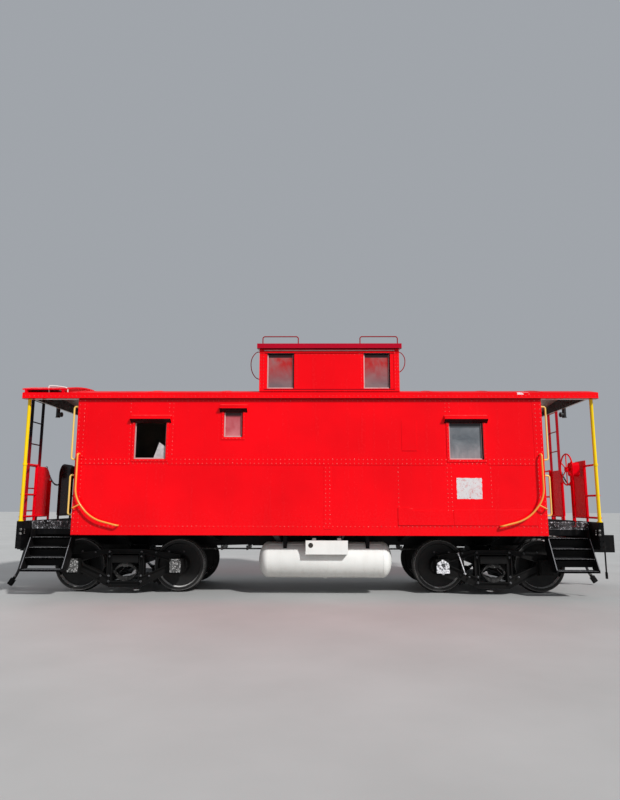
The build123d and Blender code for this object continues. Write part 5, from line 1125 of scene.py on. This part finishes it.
# Step treads: top height, outer edge across the car, inner edge
treads = ((0.425, 1.50, 1.28), (0.600, 1.39, 1.17), (0.750, 1.28, 1.06), (0.910, 1.18, 1.045))
for end, side in ENDS:
    guards = Build()
    nosings = Build()
    x0, x1 = sorted((side * (STEP_LOW_X + 0.014), side * (STEP_HIGH_X - 0.014)))
    for y_side in (-1, 1):
        corner = (side * GUARD_X, y_side * GUARD_Y, GUARD_Z)
        depth = -side * y_side * GUARD_DEPTH
        lattice(guards, corner, (side, 0, 0), UP, GUARD_SIZE, GUARD_CELL, GUARD_BAR, depth)
        for top, outer, inner in treads:
            lip_y = y_side * (outer - NOSING)
            y0, y1 = sorted((y_side * inner, lip_y))
            size = (x1 - x0, y1 - y0)
            lattice(nosings, (x0, y0, top), (1, 0, 0), (0, 1, 0), size, TREAD_CELL, TREAD_BAR, TREAD_DEPTH)
            nosings.box((x0, lip_y, top - NOSING_LOW), (x1, y_side * outer, top + NOSING_RISE))
    guards.make(f"platform_guards_{end}", "mesh")
    nosings.make(f"tread_gratings_{end}", "nosing")

# Marker lanterns that hang from the canopies, lens towards the cabin
LANTERN_X, LANTERN_LOW, LANTERN_HIGH = 4.738, 3.044, 3.366
LENS_Z = 3.102
LANTERN_SIDES = 28
# Drums of the housing: low z, high z, radius
housing = (
    (LANTERN_LOW, LANTERN_LOW + 0.018, 0.042),
    (LANTERN_LOW + 0.014, LANTERN_HIGH - 0.050, 0.036),
    (LANTERN_HIGH - 0.054, LANTERN_HIGH - 0.036, 0.043),
    (LANTERN_HIGH - 0.040, LANTERN_HIGH - 0.014, 0.030),
    (LANTERN_HIGH - 0.018, LANTERN_HIGH, 0.018),
)
# Drums of the lens and its ring: from x, to x, radius
lens = ((4.712, 4.672, 0.044), (4.674, 4.660, 0.048), (4.662, 4.650, 0.036))
lanterns = Build()
for _, side in ENDS:
    outward, across = (side, 0, 0), (0, side, 0)
    for low_z, high_z, radius in housing:
        drum = ((low_z, radius), (high_z, radius))
        lanterns.turned((side * LANTERN_X, 0, 0), UP, outward, across, drum, LANTERN_SIDES)
    for near_x, far_x, radius in lens:
        drum = ((near_x, radius), (far_x, radius))
        lanterns.turned((0, 0, LENS_Z), outward, across, UP, drum, LANTERN_SIDES)
    lanterns.box((side * 4.700, -0.018, 3.358), (side * 4.752, 0.018, 3.391))
lanterns.make("lanterns", "lamp", bevel=0.002, smooth=35, replaces=("platform_lamps",))

# Bolts of the end sills and coupler strikers
SILL_BOLT_Y = (-1.36, -1.22, -0.98, -0.70, -0.44, 0.44, 0.70, 0.98, 1.22, 1.36)
SILL_BOLT_Z, CORNER_BOLT_Z = (0.79, 1.13), (0.80, 0.88, 0.96, 1.04, 1.12)
CORNER_BOLT_X = (4.615, 4.66)
STRIKER_X, STRIKER_Y, STRIKER_Z = SILL_X + 0.040, 0.168, (0.72, 0.83, 0.94)
# Nuts: radius, thickness, length of the bolt's end
SILL_NUT, STRIKER_NUT, CORNER_NUT = (0.016, 0.011, 0.006), (0.014, 0.010, 0.006), (0.012, 0.009, 0.005)
# Bright heads on the sill's sides, bare steel that stands as painted glints: x, heights, radius, thickness,
# sides
bright_heads = ((4.610, (0.977, 1.043), 0.023, 0.010, 20), (4.548, (0.985, 1.015, 1.045), 0.009, 0.007, 10))
sill_bolts = Build()
draw_bolts = Build()
for _, side in ENDS:
    normal = (side, 0, 0)
    for y in SILL_BOLT_Y:
        for z in SILL_BOLT_Z:
            sill_bolts.nut((side * SILL_X, y, z), normal, *SILL_NUT)
    for y in (-STRIKER_Y, STRIKER_Y):
        for z in STRIKER_Z:
            sill_bolts.nut((side * STRIKER_X, y, z), normal, *STRIKER_NUT)
    for y_side in (-1, 1):
        face_y, normal = y_side * SILL_Y, (0, y_side, 0)
        for x in CORNER_BOLT_X:
            for z in CORNER_BOLT_Z:
                sill_bolts.nut((side * x, face_y, z), normal, *CORNER_NUT)
        for x, heights, radius, thickness, sides in bright_heads:
            for z in heights:
                draw_bolts.disc((side * x, face_y, z), normal, radius, thickness, sides)
sill_bolts.make("end_sill_bolts", "black", smooth=30)
draw_bolts.make("draw_bolts", "steel", smooth=45)


# Safety chains in links
def link(build, centre, along, across, length, width, wire):
    """One chain link: a stadium loop of round wire."""
    points = []
    straight = length / 2 - width / 2
    for sign, start in ((1, -90), (-1, 90)):
        for step in range(7):
            angle = math.radians(start + 180 * step / 6)
            reach = sign * straight + width / 2 * math.cos(angle)
            points.append(centre + along * reach + across * (width / 2 * math.sin(angle)))
    build.tube(points, wire, sides=6, closed=True)


CHAIN_X, CHAIN_LOW_Y, CHAIN_HIGH_Y, CHAIN_STEPS = 4.732, -0.65, 0.35, 200
HOOK_Z, SAG = 2.115, 0.32
LINK_PITCH, LINK_LENGTH, LINK_WIDTH, LINK_WIRE = 0.032, 0.050, 0.026, 0.0042
chains = Build()
for _, side in ENDS:
    points = []
    for step in range(CHAIN_STEPS + 1):
        share = step / CHAIN_STEPS
        y = CHAIN_LOW_Y + (CHAIN_HIGH_Y - CHAIN_LOW_Y) * share
        z = HOOK_Z - SAG * (1 - (2 * share - 1) ** 2)
        points.append(Vector(turned_end((CHAIN_X, y, z), side)))
    travelled, next_at, count = 0.0, LINK_PITCH / 2, 0
    for before, after in zip(points, points[1:]):
        step_length = (after - before).length
        while travelled + step_length >= next_at:
            place = before.lerp(after, (next_at - travelled) / step_length)
            along = (after - before).normalized()
            flat = Vector((1, 0, 0))
            across = flat if count % 2 else along.cross(flat).normalized()
            link(chains, place, along, across, LINK_LENGTH, LINK_WIDTH, LINK_WIRE)
            next_at += LINK_PITCH
            count += 1
        travelled += step_length
chains.make("safety_chain_links", "chain", smooth=60, replaces=("safety_chains",))

# Trucks: the frames' outer faces and the journal boxes' faces
FRAME_Y = 1.043
LID_Y = 1.130
# Nuts over a journal box: distance from its middle, height over the axle
BOX_BOLT_X, BOX_BOLT_Z = 0.121, 0.235
BOX_NUT, ROD_NUT = (0.016, 0.012, 0.008), (0.016, 0.014, 0.006)
# Bright rod that hangs beside the near bolster of end B, and its two bosses: x, z
ROD_Y, ROD_RADIUS, BOSS_Y = -1.085, 0.0085, -1.036
rod_path = [(2.435, ROD_Y, 0.669), (2.470, ROD_Y - 0.002, 0.560), (2.540, ROD_Y, 0.337)]
rod_bosses = ((2.437, 0.664), (2.538, 0.342))
# Nuts on a frame: distance from its middle, height, radius, thickness, bolt's end
frame_nuts = [(x, z, 0.020, 0.016, 0.010) for x in (-0.264, 0.264) for z in (0.20, 0.29, 0.60, 0.675)]
frame_nuts += [
    (x, z, 0.017, 0.013, 0.008) for x, z in ((-0.50, 0.665), (0.50, 0.665), (-0.40, 0.29), (0.40, 0.29))
]
# Bare lid: each raised outline and its height
bare_lid_parts = (
    (
        [(-0.098, -0.088), (0.098, -0.088), (0.103, 0.015), (0.088, 0.070),
         (0.040, 0.100), (-0.040, 0.100), (-0.088, 0.070), (-0.103, 0.015)],
        0.010,
    ),
    ([(-0.104, -0.092), (0.104, -0.092), (0.104, -0.040), (-0.104, -0.040)], 0.022),
    ([(-0.026, -0.030), (0.012, -0.030), (-0.062, 0.074), (-0.092, 0.058)], 0.024),
    ([(0.026, -0.030), (0.060, -0.030), (0.098, 0.050), (0.066, 0.072)], 0.024),
    ([(-0.026, 0.080), (0.026, 0.080), (0.022, 0.122), (-0.022, 0.122)], 0.020),
)
lid_outline = [
    (-0.084, -0.092), (0.084, -0.092), (0.090, 0.070), (0.066, 0.096), (-0.066, 0.096), (-0.090, 0.070)
]


def bare_lid(build, x, y, side):
    """The one lid renewed and left in bare metal, ribbed like a shield."""
    for outline, rise in bare_lid_parts:
        build.plate(outline, y - side * SINK, side * rise, x, AXLE_Z)
    build.disc((x, y + side * 0.006, AXLE_Z - 0.090), (0, side, 0), 0.028, 0.014, sides=18)


def cast_lid(build, x, y, side):
    """Lid with a raised rim, ribs and its hinge above."""
    build.plate(lid_outline, y - side * SINK, side * 0.009, x, AXLE_Z)
    near_y, far_y = y + side * 0.005, y + side * 0.013
    for rib in (-0.045, 0.0, 0.045):
        build.box((x + rib - 0.005, near_y, AXLE_Z - 0.075), (x + rib + 0.005, far_y, AXLE_Z + 0.07))
    far_y = y + side * 0.011
    for rib in (-0.05, 0.0, 0.05):
        build.box((x - 0.072, near_y, AXLE_Z + rib - 0.004), (x + 0.072, far_y, AXLE_Z + rib + 0.004))
    build.tube([(x + reach, y - side * 0.004, AXLE_Z + 0.108) for reach in (-0.07, 0.07)], 0.012, sides=12)
    build.box((x - 0.022, y, AXLE_Z + 0.085), (x + 0.022, y + side * 0.016, AXLE_Z + 0.118))


for end, side in ENDS:
    body = f"truck_{end}"
    bolts = Build()
    lids = Build()
    shaded_lids = Build()
    bare = Build()
    for y_side in (-1, 1):
        normal = (0, y_side, 0)
        frame_y = y_side * FRAME_Y
        lid_y = y_side * LID_Y
        for x, z, radius, height, shank in frame_nuts:
            bolts.nut((side * TRUCK_X + x, frame_y, z), normal, radius, height, shank)
        for axle in (-1, 1):
            box_x = side * TRUCK_X + axle * HALF_WHEELBASE
            for x in (box_x - BOX_BOLT_X, box_x + BOX_BOLT_X):
                # None where the steps pass close by on the swivelled truck
                if abs(x) < STEP_LOW_X:
                    bolts.nut((x, frame_y + y_side * SINK, AXLE_Z + BOX_BOLT_Z), normal, *BOX_NUT)
            if side > 0 and axle < 0 and y_side < 0:
                bare_lid(bare, box_x, lid_y, y_side)
                pin = (box_x + 0.004, lid_y + y_side * 0.007, AXLE_Z + 0.030)
                bolts.disc(pin, normal, 0.036, 0.010, sides=20)
            else:
                # Painted shade: the outer lids of end B, beside the steps, take the dark truck finish; the
                # others the lid finish
                cast_lid(shaded_lids if side > 0 and axle > 0 else lids, box_x, lid_y, y_side)
    # The truck's nuts take the bright nosing finish as painted glints
    bolts.make(f"truck_bolts_{end}", "nosing", body, smooth=30)
    lids.make(f"journal_lids_{end}", "lid", body, bevel=0.002)
    if side > 0:
        shaded_lids.make("plain_lids_b", "truck", body, bevel=0.002)
        bare.make("bare_lid_b", "silver", body, bevel=0.003)
        rod = Build()
        rod.tube(rod_path, ROD_RADIUS)
        for x, z in rod_bosses:
            rod.disc((x, BOSS_Y, z), (0, -1, 0), 0.012, 0.052, sides=16)
            rod.nut((x, ROD_Y, z), (0, -1, 0), *ROD_NUT)
        rod.make("hanger_rod_b", "silver", body, smooth=40)

# Pipes and brake rods under the car, in bare steel that stands as painted glints: points, radius, sides
rods = (
    ([(-4.58, 0.36, 0.865), (-3.4, 0.36, 0.985), (3.4, -0.36, 0.985), (4.58, -0.36, 0.865)], 0.02, 12),
    ([(-1.95, 0.02, 0.655), (1.95, 0.02, 0.655)], 0.014, 10),
    ([(-1.75, 0.30, 0.70), (-0.9, 0.42, 0.72)], 0.012, 10),
)
# Levers under the floor: x; from y, to y; z; the nuts on them: y
LEVER_X, LEVER_LOW, LEVER_HIGH = (-1.55, -1.10, 1.62), (-0.30, 0.650), (0.42, 0.710)
LEVER_HALF, LEVER_NUT_Y, LEVER_NUT = 0.012, (-0.28, 0.02, 0.40), (0.02, 0.014, 0.008)
rigging = Build()
for points, radius, sides in rods:
    rigging.tube(points, radius, sides)
for x in LEVER_X:
    rigging.box((x - LEVER_HALF, *LEVER_LOW), (x + LEVER_HALF, *LEVER_HIGH))
    for y in LEVER_NUT_Y:
        rigging.nut((x, y, LEVER_HIGH[1] - SINK), UP, *LEVER_NUT)
rigging.make("brake_rigging", "steel", smooth=35)

# Fuel tank with elliptical heads, and its weld seams
TANK_Y, TANK_Z, TANK_R = -0.98, 0.554, 0.288
TANK_LOW, TANK_HIGH, TANK_HEAD = -0.819, 1.363, 0.158
TANK_MIDDLE = 0.27
# A head's outline in steps of this angle, and the radius at its tip
HEAD_STEP, TIP = 5, 0.0005
SEAM_R, SEAM_WIRE = TANK_R - 0.001, 0.0042
LONG_SEAM_X, LONG_SEAM_WIRE = (-0.65, 1.19), 0.004
profile = []
for degrees in range(0, 91, HEAD_STEP):
    angle = math.radians(degrees)
    reach = TANK_LOW + TANK_HEAD - TANK_HEAD * math.cos(angle)
    profile.append((reach, max(TANK_R * math.sin(angle), TIP)))
profile += [(TANK_LOW + TANK_HIGH - x, radius) for x, radius in reversed(profile)]
shell = Build()
shell.turned((0, TANK_Y, TANK_Z), (1, 0, 0), (0, 1, 0), UP, profile, 72)
shell.make("tank_shell", "white", smooth=40, replaces=("fuel_tank",))
seams = Build()
for x in (TANK_LOW + TANK_HEAD, TANK_MIDDLE, TANK_HIGH - TANK_HEAD):
    weld = [(x, TANK_Y + SEAM_R * c, TANK_Z + SEAM_R * s) for c, s in circle(64)]
    seams.tube(weld, SEAM_WIRE, sides=6, closed=True)
seam_y, seam_z = TANK_Y - TANK_R * 0.5, TANK_Z + TANK_R * 0.8655
seams.tube([(x, seam_y, seam_z) for x in LONG_SEAM_X], LONG_SEAM_WIRE, sides=6)
seams.disc((TANK_MIDDLE, TANK_Y, TANK_Z - TANK_R + 0.004), (0, 0, -1), 0.035, 0.016, sides=16)
seams.make("tank_welds", "white", smooth=60)

# Studio floor, world and lights
FLOOR_HALF = 90.0
floor_mesh = bpy.data.meshes.new("studio_floor")
floor_corners = [(x * FLOOR_HALF, y * FLOOR_HALF, 0) for x, y in ((-1, -1), (1, -1), (1, 1), (-1, 1))]
floor_mesh.from_pydata(floor_corners, [], [(0, 1, 2, 3)])
floor_mesh.materials.append(floor_paint("studio_floor"))
studio_floor = bpy.data.objects.new("studio_floor", floor_mesh)
scene.collection.objects.link(studio_floor)

world = bpy.data.worlds.new("studio")
world.use_nodes = True
background = world.node_tree.nodes["Background"]
background.inputs["Color"].default_value = (0.84, 0.89, 0.96, 1)
background.inputs["Strength"].default_value = 0.42
scene.world = world


def sun(name, direction, strength, angle):
    light = bpy.data.lights.new(name, "SUN")
    light.energy = strength
    light.angle = math.radians(angle)
    lamp = bpy.data.objects.new(name, light)
    lamp.rotation_mode = "QUATERNION"
    lamp.rotation_quaternion = Vector(direction).to_track_quat("-Z", "Y")
    scene.collection.objects.link(lamp)


sun("key", (-0.85, 1.0, -1.0), 3.3, 4.0)
sun("fill", (1.0, -0.9, -0.8), 0.5, 40.0)
